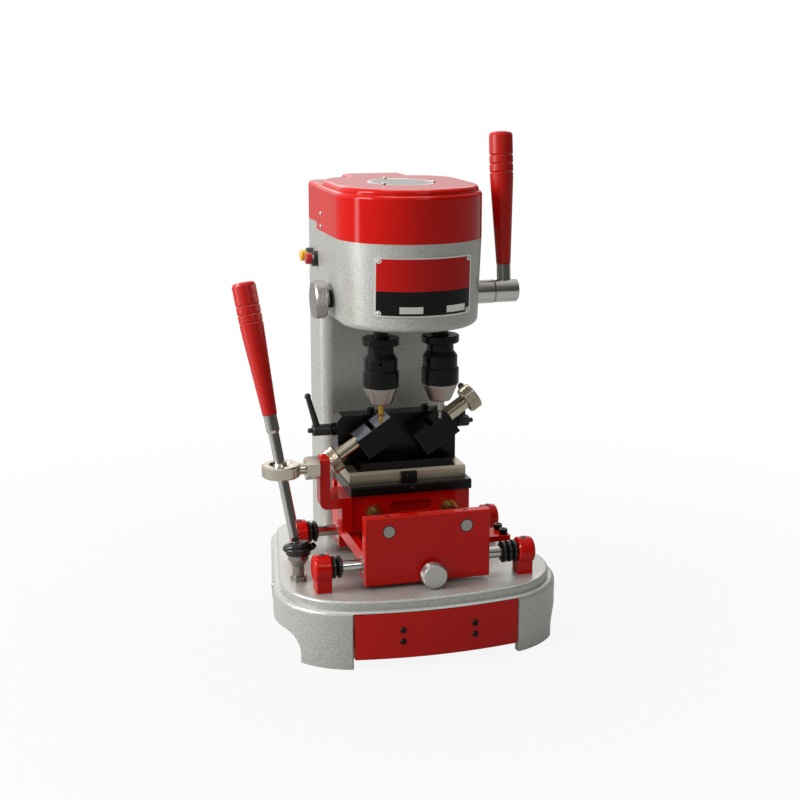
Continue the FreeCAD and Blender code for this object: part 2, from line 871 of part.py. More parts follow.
def cover_front(shrink, z0, z1):
    """Bowed front part of the cover between two heights, drawn in by a wall."""
    plan = Part.Face(head_outline(head_radius - shrink, z0, head_back_y - shrink))
    return plan.extrude(Vector(0, 0, z1 - z0))


def lid_form(inset, z0, z1):
    """Raised panel on the cover's top, round at its back corners, with its rear neck."""
    back_y = head_back_y + lid_back_reach - inset + lid_inset
    panel = Part.Face(head_outline(head_radius - inset, z0, back_y))
    panel = panel.extrude(Vector(0, 0, z1 - z0))
    panel = panel.makeFillet(lid_back_corner - inset + lid_inset,
                             upright_edges(panel, lambda p: near(p.y, back_y)))
    neck_half = lid_neck_half - inset + lid_inset
    neck = box(-neck_half, neck_half, head_center_y,
               column_back_y - lid_neck_back_margin - inset + lid_inset, z0, z1)
    return fuse(panel, neck)


def grille_oval(grow, z0, z1):
    """Oval prism at the vent, grown by a margin."""
    half_x = grille_half_x + grow
    half_y = grille_half_y + grow
    oval = Part.Ellipse(Vector(0, grille_center_y, z0),
                        max(half_x, half_y), min(half_x, half_y)).toShape()
    if half_y > half_x:
        oval.rotate(Vector(0, grille_center_y, z0), Z_AXIS, 90)
    return Part.Face(Part.Wire(oval)).extrude(Vector(0, 0, z1 - z0))


def top_cover():
    """Red cover shell with a raised lid panel and a recessed oval vent."""
    overlap_y = head_back_y - 3 * cover_wall
    front = rounded(cover_front(0, head_top_z, cover_top_z), cover_round,
                    lambda p: near(p.z, cover_top_z) and p.y < head_back_y - 1)
    rear = rounded(upper_block(shoulder_z, cover_top_z, overlap_y), cover_round,
                   lambda p: near(p.z, cover_top_z) and p.y > head_back_y)
    lid_top_z = cover_top_z + lid_rise
    lid = lid_form(lid_inset, cover_top_z - cover_wall, lid_top_z)
    lid = rounded(lid, lid_round, lambda p: near(p.z, lid_top_z))
    inner = fuse(cover_front(cover_wall, head_top_z - 1, cover_top_z - cover_wall),
                 upper_block(head_top_z - 1, cover_top_z - cover_wall, overlap_y, cover_wall))
    lid_inner = lid_form(lid_inset + cover_wall, cover_top_z - 2 * cover_wall,
                         lid_top_z - cover_wall)
    vent = grille_oval(-grille_lip, cover_top_z - cover_wall, lid_top_z + 1)
    recess = grille_oval(0, lid_top_z - grille_thickness, lid_top_z + 1)
    cover = cut(fuse(front, rear, lid), inner, lid_inner, vent, recess)
    holes = [along_x(-head_radius - 1, -head_radius + cover_wall + 1, cover_screw_y, z,
                     cover_screw_radius / 2) for z in cover_screw_heights()]
    holes += [along_z(lid_top_z - cover_wall - 1, lid_top_z, x, y, grille_screw_radius / 2)
              for x, y in grille_screw_places()]
    return cut(cover, *holes)


def grille_screw_places():
    """Screws round the rim of the vent grille."""
    rim_x = grille_half_x - grille_lip / 2
    rim_y = grille_half_y - grille_lip / 2
    places = []
    for turn in (-20, 100, 220):
        angle = math.radians(turn)
        places.append((rim_x * math.cos(angle), grille_center_y + rim_y * math.sin(angle)))
    return places


def vent_grille():
    """Perforated oval plate in the lid's recess."""
    top_z = cover_top_z + lid_rise
    plate = grille_oval(-side_gap, top_z - grille_thickness, top_z)
    holes = []
    row_pitch = grille_pitch * math.sqrt(3) / 2
    rows = int(grille_half_y / row_pitch)
    columns = int(grille_half_x / grille_pitch)
    reach_x = grille_half_x - grille_lip - grille_hole_radius
    reach_y = grille_half_y - grille_lip - grille_hole_radius
    for row in range(-rows, rows + 1):
        for column in range(-columns, columns + 1):
            x = (column + 0.5 * (row % 2)) * grille_pitch
            y = row * row_pitch
            if (x / reach_x) ** 2 + (y / reach_y) ** 2 < 1:
                holes.append(along_z(top_z - grille_thickness - 1, top_z + 1, x,
                                     grille_center_y + y, grille_hole_radius))
    for x, y in grille_screw_places():
        holes.append(along_z(top_z - grille_thickness - 1, top_z + 1, x, y,
                             grille_screw_radius / 2))
    return plate.cut(holes)


def cover_screw_heights():
    """Heights of the two screws on the cover's left side."""
    first = head_top_z + cover_screw_low
    return [first, first + cover_screw_pitch]


def small_screws():
    """Cover side screws and grille screws."""
    screws = []
    for z in cover_screw_heights():
        head = along_x(-head_radius - cover_screw_head, -head_radius, cover_screw_y, z,
                       cover_screw_radius)
        shank = along_x(-head_radius, -head_radius + cover_wall, cover_screw_y, z,
                        cover_screw_radius / 2)
        screws.append(fuse(head, shank))
    top_z = cover_top_z + lid_rise
    for x, y in grille_screw_places():
        head = along_z(top_z, top_z + grille_screw_head, x, y, grille_screw_radius)
        shank = along_z(top_z - cover_wall, top_z, x, y, grille_screw_radius / 2)
        screws.append(fuse(head, shank))
    return screws


def head_y(x, z):
    """Y of the head's bowed front at a place on it."""
    share = (z - head_bottom_z) / (head_top_z - head_bottom_z)
    radius = head_radius - head_draft * (1 - share)
    return head_center_y - math.sqrt(radius ** 2 - x ** 2)


def name_plate():
    """Thin plate bent to the head's bow, with notched corners."""
    window = box(-plate_half, plate_half, -2 * head_radius, 0, plate_bottom,
                 plate_bottom + plate_height)
    notch = plate_pin_margin
    for sx in (-1, 1):
        for z in (plate_bottom, plate_bottom + plate_height):
            corner = along_y(-2 * head_radius, 0, sx * plate_half, z, notch / 2)
            window = window.cut(corner)
    plate = head_solid(plate_glue + plate_thickness).cut(head_solid(plate_glue)).common(window)
    holes = [along_y(-2 * head_radius, 0, x, z, plate_pin_radius / 2)
             for x, z in plate_pin_places()]
    return plate.cut(holes)


def plate_pin_places():
    """Places of the four pins in the name plate's corners."""
    x = plate_half - plate_pin_margin
    low = plate_bottom + plate_pin_margin
    high = plate_bottom + plate_height - plate_pin_margin
    return [(-x, low), (x, low), (-x, high), (x, high)]


def plate_pins():
    """Drive pins that hold the name plate."""
    pins = []
    for x, z in plate_pin_places():
        out_y = head_y(x, z) - plate_glue - plate_thickness
        reach = plate_pin_radius + plate_glue + plate_thickness
        head = along_y(out_y - plate_pin_head - plate_pin_radius, out_y + reach, x, z,
                       plate_pin_radius)
        shank = along_y(out_y - plate_pin_head, out_y + reach, x, z, plate_pin_radius / 2)
        head = head.cut(head_solid(plate_glue + plate_thickness))
        shank = shank.cut(head_solid(0))
        pins.append(fuse(head, shank))
    return pins


def frame_screws():
    """Every fixed screw, bolt and pin of the frame."""
    return group(column_bolts() + small_screws() + panel_screws() + plate_pins() + [plug_screw()])


def button_places():
    """Y of the stop button and of the start button."""
    return [stop_button_y, stop_button_y + button_pitch_y]


def switch_bezels():
    """Black switch bodies with round bezels on the column's left side."""
    bezels = []
    for y in button_places():
        bezel = along_x(-column_half - bezel_length, -column_half, y, button_z, bezel_radius)
        bezel = bevelled(bezel, bezel_length / 5, lambda p: near(p.x, -column_half - bezel_length))
        body = along_x(-column_half, -column_half + switch_body_length, y, button_z,
                       switch_body_radius)
        bore = along_x(-column_half - bezel_length - 1, -column_half, y, button_z,
                       button_radius + run_gap)
        bezels.append(cut(fuse(bezel, body), bore))
    return group(bezels)


def push_button(y):
    """Round button cap in its bezel."""
    outer = -column_half - bezel_length - button_proud
    cap = along_x(outer, -column_half - button_travel - side_gap, y, button_z, button_radius)
    return rounded(cap, button_radius / 4, lambda p: near(p.x, outer))


def quills():
    """Cutter quill and tracer quill, bored for their spindles."""
    tubes = []
    for x in spindle_places():
        bore = spindle_radius + (run_gap if x < 0 else 0)
        tube = along_z(quill_bottom_z, quill_bottom_z + quill_length, x, 0, quill_radius)
        tubes.append(cut(tube, along_z(quill_bottom_z - 1, quill_bottom_z + quill_length + 1,
                                       x, 0, bore)))
    return group(tubes)


def rack_profile(phase_z, low_z, high_z, root_y):
    """Rack teeth that point back at the pinion, as separate prisms."""
    pitch = math.pi * rack_module
    base = tooth_share * pitch
    tip = base / 2
    height = 2 * rack_module
    teeth = []
    first = math.ceil((low_z - phase_z) / pitch)
    last = math.floor((high_z - phase_z) / pitch)
    for number in range(first, last + 1):
        z = phase_z + number * pitch
        corners = [Vector(-rack_half_width, root_y, z - base), Vector(-rack_half_width, root_y, z + base),
                   Vector(-rack_half_width, root_y + height, z + tip),
                   Vector(-rack_half_width, root_y + height, z - tip)]
        face = Part.Face(Part.makePolygon(corners + corners[:1]))
        teeth.append(face.extrude(Vector(2 * rack_half_width, 0, 0)))
    return teeth


def quill_yoke():
    """Cross piece that ties the two quills, with the feed rack on its back."""
    top_z = quill_bottom_z + quill_length - yoke_top_drop
    low_z = top_z - yoke_thickness
    reach = quill_radius + yoke_margin
    bar = box(spindle_xs["left"], spindle_xs["right"], -reach, reach, low_z, top_z)
    ends = [along_z(low_z, top_z, x, 0, reach) for x in spindle_places()]
    pitch_y = feed_y - pinion_radius
    root_y = pitch_y - rack_module
    rack_low = feed_z - rack_below_axis
    stem = box(-rack_half_width, rack_half_width, root_y - rack_back, root_y, rack_low, top_z)
    teeth = rack_profile(feed_z + math.pi * rack_module / 2, rack_low + rack_module, low_z, root_y)
    yoke = fuse(bar, *ends, stem, *teeth)
    bores = [along_z(low_z - 1, top_z + 1, x, 0, quill_radius) for x in spindle_places()]
    return cut(yoke, *bores)


def cross_shaft():
    """Cross shaft with the pinion cut in its middle."""
    left_end = -(head_radius - head_draft - head_wall)
    root = pinion_radius - 1.2 * rack_module
    tip = pinion_radius + 0.6 * rack_module
    pitch = 2 * math.pi * pinion_radius / pinion_teeth
    half_base = tooth_share * pitch
    wheel = along_x(-rack_half_width, rack_half_width, feed_y, feed_z, root)
    teeth = []
    for number in range(pinion_teeth):
        corners = [Vector(-rack_half_width, feed_y + root - 0.5, feed_z - half_base),
                   Vector(-rack_half_width, feed_y + root - 0.5, feed_z + half_base),
                   Vector(-rack_half_width, feed_y + tip, feed_z + half_base / 2),
                   Vector(-rack_half_width, feed_y + tip, feed_z - half_base / 2)]
        face = Part.Face(Part.makePolygon(corners + corners[:1]))
        tooth = face.extrude(Vector(2 * rack_half_width, 0, 0))
        tooth.rotate(Vector(0, feed_y, feed_z), X_AXIS, 360 * number / pinion_teeth)
        teeth.append(tooth)
    shaft = along_x(left_end, feed_boss_end + feed_groove, feed_y, feed_z, feed_shaft_radius)
    return fuse(shaft, wheel, *teeth)


def feed_boss():
    """Chrome sleeve on the head's right side that carries the cross shaft."""
    inner = head_radius - head_wall
    sleeve = along_x(inner, feed_boss_end, feed_y, feed_z, feed_boss_radius)
    sleeve = sleeve.cut(head_solid(0))
    return cut(sleeve, along_x(inner - 1, feed_boss_end + 1, feed_y, feed_z,
                               feed_shaft_radius + run_gap))


def feed_hub():
    """Chrome hub and neck that carry the feed grip."""
    start = feed_boss_end + feed_groove
    end = start + feed_hub_length
    hub = along_x(start, end, feed_y, feed_z, feed_hub_radius)
    hub = bevelled(hub, 1.2, lambda p: near(p.x, start) or near(p.x, end))
    neck = along_z(feed_z, feed_z + feed_neck_top, (start + end) / 2, feed_y, feed_neck_radius)
    neck.rotate(Vector(0, feed_y, feed_z), X_AXIS, -feed_rest_lean)
    return fuse(hub, neck)


def feed_shaft():
    """Cross shaft with the hub pinned on its right end."""
    return group([cross_shaft(), feed_hub()])


def grip(top_z):
    """Upright tapered grip on the Z axis with three grooves near its round top."""
    low = top_z - grip_length
    points = [(0, low), (grip_low_radius - 0.8, low), (grip_low_radius, low + 0.8),
              (grip_top_radius - 0.6, top_z - grip_straight)]
    for number in (2, 1, 0):
        groove = top_z - grip_groove_first - number * grip_groove_pitch
        points += [(grip_top_radius, groove - grip_groove_width),
                   (grip_top_radius - grip_groove_depth, groove - grip_groove_width / 2),
                   (grip_top_radius, groove)]
    points += [(grip_top_radius, top_z - 4), (grip_top_radius - 1.2, top_z - 1.2),
               (grip_top_radius - 4, top_z), (0, top_z)]
    return turned(points)


def feed_grip():
    """Red grip screwed on the feed neck."""
    low = feed_z + feed_neck_top
    handle = grip(low + grip_length)
    handle.translate(Vector(feed_boss_end + feed_groove + feed_hub_length / 2, feed_y, 0))
    handle.rotate(Vector(0, feed_y, feed_z), X_AXIS, -feed_rest_lean)
    return handle


def lock_bush():
    """Black bush on the head's left side for the quill lock stud."""
    outer = -head_radius - lock_bush_length
    bush = along_x(outer, -head_radius + head_wall, lock_y, lock_z, lock_bush_radius)
    bush = bush.cut(head_solid(0))
    return cut(bush, along_x(outer - 1, 0, lock_y, lock_z, lock_stud_radius + run_gap))


def quill_lock_knob():
    """Round knurled knob with its stud."""
    inner = -head_radius - lock_bush_length - side_gap
    shoulder = inner - lock_collar_length
    knob = along_x(shoulder - lock_knob_length, shoulder, lock_y, lock_z, lock_knob_radius)
    knob = bevelled(knob, 1.5, lambda p: True)
    collar = along_x(shoulder - 1, inner, lock_y, lock_z, lock_collar_radius)
    stud = along_x(inner, inner + lock_bush_length + lock_stud_length, lock_y, lock_z,
                   lock_stud_radius)
    return fuse(knob, collar, stud)


def chuck_heights():
    """Lower ends of nose, sleeve, body, neck and collar, and the collar's top."""
    heights = [nose_bottom_z]
    for step in (nose_height, sleeve_height, chuck_body_height, chuck_neck_height,
                 collar_height):
        heights.append(heights[-1] + step)
    return heights


def chuck_sleeve(side):
    """Black chuck: gripping sleeve, body with a key hole, neck and collar."""
    x = spindle_xs[side]
    nose, sleeve, body, neck, collar, top = chuck_heights()
    points = [(spindle_radius, sleeve), (sleeve_radius - 1, sleeve), (sleeve_radius, sleeve + 1),
              (sleeve_radius, body - 2), (chuck_body_radius, body),
              (chuck_body_radius, neck - chuck_body_taper), (chuck_neck_radius, neck),
              (chuck_neck_radius, collar), (collar_radius - 1, collar),
              (collar_radius, collar + 1), (collar_radius, top - 1), (collar_radius - 1, top),
              (spindle_radius, top)]
    chuck = turned(points, x)
    hole = along_y(-chuck_body_radius - 1, key_hole_depth - chuck_body_radius, x,
                   (body + neck) / 2, key_hole_radius)
    hole.rotate(Vector(x, 0, 0), Z_AXIS, key_hole_turns[side])
    return cut(chuck, hole)


def chuck_spindle(x, top_z):
    """Steel spindle with the chuck's conical nose turned on its lower end."""
    sleeve = nose_bottom_z + nose_height
    points = [(tool_radius, nose_bottom_z), (nose_low_radius - 1, nose_bottom_z),
              (nose_low_radius, nose_bottom_z + 1), (nose_top_radius, sleeve - 1),
              (nose_top_radius, sleeve), (spindle_radius, sleeve), (spindle_radius, top_z),
              (0, top_z), (0, nose_bottom_z + tool_grip_depth),
              (tool_radius, nose_bottom_z + tool_grip_depth)]
    return turned(points, x)


def cutter_spindle():
    """Driven spindle, long enough to stay in its pulley at full feed."""
    return chuck_spindle(spindle_xs["left"], pulley_z + pulley_height + feed_travel - 4)


def tracer_spindle():
    """Fixed spindle of the tracer."""
    return chuck_spindle(spindle_xs["right"], quill_bottom_z + quill_length)


def tool(x, drop, tip_radius, tip_length):
    """Straight shank tool with a thinner pointed tip."""
    tip_z = nose_bottom_z - drop
    shoulder_low = tip_z + tip_length
    points = [(0, tip_z), (tip_radius * 0.6, tip_z), (tip_radius, tip_z + 1),
              (tip_radius, shoulder_low), (tool_radius, shoulder_low + 1.5),
              (tool_radius, nose_bottom_z + tool_grip_depth),
              (0, nose_bottom_z + tool_grip_depth)]
    return turned(points, x)


def spindle_pulley():
    """Belt pulley on the cutter spindle, its sleeve running in the head's bridge."""
    x = spindle_xs["left"]
    bore = spindle_radius + run_gap
    low = bridge_top_z - bridge_thickness
    points = [(bore, low), (spindle_pulley_sleeve_radius, low),
              (spindle_pulley_sleeve_radius, bridge_top_z + side_gap),
              (spindle_pulley_hub_radius, bridge_top_z + side_gap),
              (spindle_pulley_hub_radius, pulley_z), (spindle_pulley_radius, pulley_z),
              (spindle_pulley_radius, pulley_z + pulley_height), (bore, pulley_z + pulley_height)]
    return turned(points, x)


def motor_housing():
    """Motor can standing on the head's floor."""
    low = head_bottom_z + head_floor
    can = along_z(low, low + motor_height, 0, motor_y, motor_radius)
    can = rounded(can, motor_wall, lambda p: near(p.z, low + motor_height))
    room = along_z(low + motor_wall, low + motor_height - motor_wall, 0, motor_y,
                   motor_radius - motor_wall)
    bearing = along_z(low + motor_wall, low + motor_height + 1, 0, motor_y,
                      motor_shaft_radius + run_gap)
    return cut(can, room, bearing)


def motor_rotor():
    """Motor shaft, its rotor and the belt pulley on its upper end."""
    low = head_bottom_z + head_floor + motor_wall + side_gap
    room_top = head_bottom_z + head_floor + motor_height - motor_wall
    shaft = along_z(low, pulley_z + pulley_height, 0, motor_y, motor_shaft_radius)
    core = along_z(low + rotor_end_gap, room_top - rotor_end_gap, 0, motor_y, rotor_radius)
    points = [(motor_shaft_radius, pulley_z), (motor_pulley_radius, pulley_z),
              (motor_pulley_radius, pulley_z + pulley_height),
              (motor_shaft_radius, pulley_z + pulley_height)]
    return group([fuse(shaft, core), turned(points, 0, motor_y)])


def belt_loop(grow, z0, z1):
    """Prism of the belt's path round both pulleys, grown by a thickness."""
    start = Vector(0, motor_y, z0)
    end = Vector(spindle_xs["left"], 0, z0)
    r0 = motor_pulley_radius + grow
    r1 = spindle_pulley_radius + grow
    line = end - start
    lean = math.asin((r0 - r1) / line.Length)
    heading = math.atan2(line.y, line.x)
    corners = []
    for center, radius, side in ((start, r0, 1), (end, r1, 1), (end, r1, -1), (start, r0, -1)):
        angle = heading + side * (math.pi / 2 - lean)
        corners.append(center + Vector(radius * math.cos(angle), radius * math.sin(angle), 0))
    middle = Part.Face(Part.makePolygon(corners + corners[:1])).extrude(Vector(0, 0, z1 - z0))
    return fuse(middle, along_z(z0, z1, start.x, start.y, r0), along_z(z0, z1, end.x, end.y, r1))


def drive_belt():
    """Flat belt from the motor pulley to the spindle pulley."""
    z0 = pulley_z + belt_inset
    z1 = pulley_z + pulley_height - belt_inset
    return cut(belt_loop(belt_thickness + run_gap, z0, z1), belt_loop(run_gap, z0 - 1, z1 + 1))


def pedestals():
    """Four rod pedestals: round head on a narrower foot, with a blind seat for the rod."""
    pieces = []
    for side in (-1, 1):
        inner = side * pedestal_inner_x
        outer = side * (pedestal_inner_x + pedestal_length)
        x0, x1 = min(inner, outer), max(inner, outer)
        for y in x_rod_ys:
            head = along_x(x0, x1, y, x_rod_z, pedestal_head_radius)
            head = bevelled(head, pedestal_chamfer, lambda p: near(p.x, inner))
            head = rounded(head, pedestal_round, lambda p: near(p.x, outer))
            foot_end = outer - side * pedestal_foot_inset
            foot = box(min(inner, foot_end), max(inner, foot_end), y - pedestal_foot_width / 2,
                       y + pedestal_foot_width / 2, deck_z, x_rod_z)
            seat_end = side * (pedestal_inner_x + rod_seat)
            seat = along_x(min(inner, seat_end), max(inner, seat_end), y, x_rod_z, x_rod_radius)
            pieces.append(cut(fuse(head, foot), seat))
    return group(pieces)


def x_rods():
    """Two chrome rods between the pedestals."""
    end = pedestal_inner_x + rod_seat
    return group([along_x(-end, end, y, x_rod_z, x_rod_radius) for y in x_rod_ys])


def bumper(ribs):
    """Ribbed rubber sleeve that starts at the origin and runs along +X."""
    points = [(x_rod_radius, 0)]
    for number in range(ribs):
        start = number * bumper_rib
        points += [(bumper_waist, start), (bumper_radius, start + bumper_rib * 0.3),
                   (bumper_radius, start + bumper_rib * 0.7)]
    length = ribs * bumper_rib
    points += [(bumper_waist, length), (x_rod_radius, length)]
    sleeve = turned(points)
    sleeve.rotate(Vector(0, 0, 0), Y_AXIS, 90)
    return sleeve


def rubber_parts():
    """Rubber bumpers on the X rods, against each pedestal, and the joystick's boot."""
    pieces = []
    for y in x_rod_ys:
        left = bumper(left_bumper_ribs)
        left.translate(Vector(-pedestal_inner_x, y, x_rod_z))
        right = bumper(right_bumper_ribs)
        right.rotate(Vector(0, 0, 0), Z_AXIS, 180)
        right.translate(Vector(pedestal_inner_x, y, x_rod_z))
        pieces += [left, right]
    return group(pieces + [lever_boot()])


def lower_carriage():
    """Red carriage: front plate, two bearing beams, side rails and a rear plate."""
    plate_top = carriage_bottom_z + front_plate_height
    plate = box(-carriage_half, carriage_half, carriage_front_y,
                carriage_front_y + front_plate_thickness, carriage_bottom_z, plate_top)
    plate = bevelled(plate, 1.0, lambda p: near(p.y, carriage_front_y))
    beam_low = x_rod_z - beam_below
    front_beam = box(-carriage_half, carriage_half, carriage_front_y + 1,
                     x_rod_ys[0] + x_bushing_radius + rod_cover, beam_low, beam_top_z)
    rear_beam = box(-carriage_half, carriage_half, x_rod_ys[1] - x_bushing_radius - rod_cover,
                    carriage_back_y, beam_low, beam_top_z)
    rear_plate = box(-carriage_half, carriage_half, carriage_back_y - rear_plate_thickness,
                     carriage_back_y, beam_low, plate_top)
    rails = []
    for side in (-1, 1):
        inner = side * (carriage_half - side_rail_thickness)
        outer = side * carriage_half
        rails.append(box(min(inner, outer), max(inner, outer), x_rod_ys[0], x_rod_ys[1],
                         beam_top_z - side_rail_height, beam_top_z))
    flange = box(carriage_half - side_rail_thickness, carriage_half + flange_reach,
                 cap_screw_y - cap_screw_pitch - cap_screw_margin, cap_screw_y + cap_screw_margin,
                 flange_top_z - flange_thickness, flange_top_z)
    carriage = fuse(plate, front_beam, rear_beam, rear_plate, *rails, flange)
    tools = [along_x(-carriage_half - 1, carriage_half + 1, y, x_rod_z, x_bushing_radius)
             for y in x_rod_ys]
    for side in (-1, 1):
        tools.append(along_y(carriage_front_y - 1, carriage_back_y + 1, side * y_rod_half, y_rod_z,
                             y_rod_radius))
        tools.append(along_z(y_rod_z, plate_top + 1, side * y_rod_half,
                             carriage_front_y + front_plate_thickness / 2, set_screw_radius))
    lock_z = carriage_bottom_z + carriage_lock_rise
    tools.append(along_y(carriage_front_y - 1, x_rod_front_y, carriage_lock_x, lock_z,
                         carriage_lock_stud_radius + run_gap))
    for x, y in cap_screw_places():
        tools.append(along_z(flange_top_z - flange_thickness - 1, flange_top_z + 1, x, y,
                             cap_screw_radius / 2))
    return cut(carriage, *tools)


def cap_screw_places():
    """Two cap screws on the carriage's right flange."""
    x = carriage_half + flange_reach - cap_screw_margin
    return [(x, cap_screw_y), (x, cap_screw_y - cap_screw_pitch)]


def carriage_screws():
    """Cap screws on the right flange and set screws over the Y rods."""
    screws = []
    for x, y in cap_screw_places():
        top = flange_top_z + cap_screw_head
        head = along_z(flange_top_z, top, x, y, cap_screw_radius)
        head = head.cut(along_z(top - cap_screw_head / 2, top + 1, x, y,
                                cap_screw_radius * socket_ratio))
        shank = along_z(flange_top_z - flange_thickness, flange_top_z, x, y, cap_screw_radius / 2)
        screws.append(fuse(head, shank))
    for side in (-1, 1):
        low = y_rod_z + y_rod_radius
        screws.append(along_z(low, low + set_screw_length, side * y_rod_half,
                              carriage_front_y + front_plate_thickness / 2, set_screw_radius))
    return group(screws)


def x_bushings():
    """Bushings at the four corners of the lower carriage."""
    pieces = []
    for side in (-1, 1):
        outer = side * carriage_half
        inner = side * (carriage_half - x_bushing_length)
        x0, x1 = min(inner, outer), max(inner, outer)
        for y in x_rod_ys:
            sleeve = along_x(x0, x1, y, x_rod_z, x_bushing_radius)
            pieces.append(cut(sleeve, along_x(x0 - 1, x1 + 1, y, x_rod_z, x_rod_radius + run_gap)))
    return group(pieces)


def y_rods():
    """Two steel rods from the front plate to the rear plate."""
    rods = []
    for side in (-1, 1):
        rods.append(along_y(carriage_front_y - side_gap, carriage_back_y, side * y_rod_half,
                            y_rod_z, y_rod_radius))
    return group(rods)


def carriage_lock_knob():
    """Knurled knob on the front plate that locks the lower carriage."""
    z = carriage_bottom_z + carriage_lock_rise
    back = carriage_front_y - carriage_lock_neck
    knob = along_y(back - carriage_lock_length, back, carriage_lock_x, z, carriage_lock_radius)
    knob = bevelled(knob, 1.2, lambda p: True)
    neck = along_y(back, carriage_front_y - side_gap, carriage_lock_x, z,
                   carriage_lock_radius * 0.7)
    stud = along_y(back, x_rod_front_y - x_bushing_radius, carriage_lock_x, z,
                   carriage_lock_stud_radius)
    return fuse(knob, neck, stud)


def upper_carriage():
    """Red block that slides front to back on the Y rods."""
    block = box(-upper_half, upper_half, upper_front_y, upper_back_y, upper_bottom_z, upper_top_z)
    block = bevelled(block, 0.8, lambda p: near(p.y, upper_front_y) and p.z < upper_top_z - 1)
    slot_z = y_rod_z + slot_rise
    half = slot_height / 2
    slot = fuse(box(-slot_half + half, slot_half - half, upper_front_y - 1,
                    upper_front_y + slot_depth, slot_z - half, slot_z + half),
                along_y(upper_front_y - 1, upper_front_y + slot_depth, -slot_half + half, slot_z, half),
                along_y(upper_front_y - 1, upper_front_y + slot_depth, slot_half - half, slot_z, half))
    bores = [along_y(upper_front_y - 1, upper_back_y + 1, side * y_rod_half, y_rod_z,
                     y_rod_radius + run_gap + brass_wall) for side in (-1, 1)]
    return cut(block, slot, *bores)


def brass_bushings():
    """Brass bushings at both ends of each Y bore, proud of the front."""
    pieces = []
    for side in (-1, 1):
        for y0, y1 in ((upper_front_y - brass_proud, upper_front_y + brass_length),
                       (upper_back_y - brass_length, upper_back_y)):
            sleeve = along_y(y0, y1, side * y_rod_half, y_rod_z, y_rod_radius + run_gap + brass_wall)
            pieces.append(cut(sleeve, along_y(y0 - 1, y1 + 1, side * y_rod_half, y_rod_z,
                                              y_rod_radius + run_gap)))
    return group(pieces)


def cross_plate():
    """Black plate on the upper carriage with a clip that stops the table."""
    plate = box(-cross_plate_half, cross_plate_half, upper_front_y - cross_plate_front_lap,
                upper_back_y + cross_plate_back_lap, upper_top_z, table_bottom_z)
    plate = bevelled(plate, 1.5, lambda p: near(p.z, table_bottom_z) and p.y < upper_front_y)
    clip = box(-clip_half, clip_half, table_front_y - clip_thickness, table_front_y,
               table_bottom_z - 1, table_bottom_z + clip_height)
    return fuse(plate, clip)


def steel_table():
    """Ground steel table with a bevelled front edge."""
    table = box(-table_half, table_half, table_front_y, upper_back_y, table_bottom_z, table_top_z)
    return bevelled(table, table_chamfer,
                    lambda p: near(p.z, table_top_z) and near(p.y, table_front_y))


def vise_carrier():
    """Black block that carries both vise pivots and their clamp studs, screwed from above."""
    wall = box(-carrier_ends["left"], carrier_ends["right"], carrier_face_y, upper_back_y,
               table_top_z, table_top_z + carrier_height)
    wall = bevelled(wall, carrier_corner, lambda p: near(p.z, table_top_z + carrier_height)
                    and abs(p.x) > carrier_half - 1)
    step_y = table_front_y + table_chamfer + carrier_step_gap
    step = box(-carrier_half, carrier_half, step_y, carrier_face_y + 1, table_top_z,
               table_top_z + carrier_step_height)
    for side in (-1, 1):
        step = step.cut(along_y(step_y - 1, carrier_face_y, side * carrier_half,
                                table_top_z + carrier_step_height, carrier_notch))
    bores = [along_y(carrier_face_y - 1, vise_back_y + vise_pivot_length + 1, x, vise_z,
                     vise_pivot_radius + run_gap) for x in spindle_places()]
    bosses = along_x(-carrier_ends["left"] - clamp_boss_length,
                     carrier_ends["right"] + clamp_boss_length,
                     clamp_lever_y, clamp_lever_z, clamp_boss_radius)
    for name, side in knob_side.items():
        outer = side * (carrier_ends[name] + clamp_boss_length + 1)
        inner = side * (carrier_ends[name] - clamp_stud_length - 1)
        bores.append(along_x(min(inner, outer), max(inner, outer), clamp_lever_y, clamp_lever_z,
                             clamp_stud_radius + run_gap))
    block = cut(fuse(wall, step, bosses), *bores)
    top = table_top_z + carrier_height
    screws = []
    for side in (-1, 1):
        head = along_z(top, top + carrier_screw_head, side * carrier_screw_x, clamp_lever_y,
                       carrier_screw_radius)
        socket = along_z(top + carrier_screw_head / 2, top + 2 * carrier_screw_head,
                         side * carrier_screw_x, clamp_lever_y, carrier_screw_radius * socket_ratio)
        screws.append(cut(head, socket))
    return group([block] + screws)


def vise_box(side, a0, a1, y0, y1, b0, b1):
    """Block in a vise's own frame, before it is tilted."""
    sign = knob_side[side]
    return box(min(sign * a0, sign * a1), max(sign * a0, sign * a1), y0, y1, b0, b1)


def vise_rod(side, a0, a1, y, b, radius):
    """Cylinder along a vise's screw direction, before it is tilted."""
    sign = knob_side[side]
    return along_x(min(sign * a0, sign * a1), max(sign * a0, sign * a1), y, b, radius)


def tilted(shape, side):
    """Tilt a vise piece about its pivot and put it in place."""
    shape.rotate(Vector(0, 0, 0), Vector(0, -1, 0), vise_tilt)
    shape.translate(Vector(spindle_xs[side], 0, vise_z))
    return shape


vise_middle_y = vise_front_y + vise_depth / 2
jaw_y0 = vise_front_y + vise_cheek
jaw_y1 = vise_back_y - vise_cheek
jaw_low_b = vise_floor - vise_below


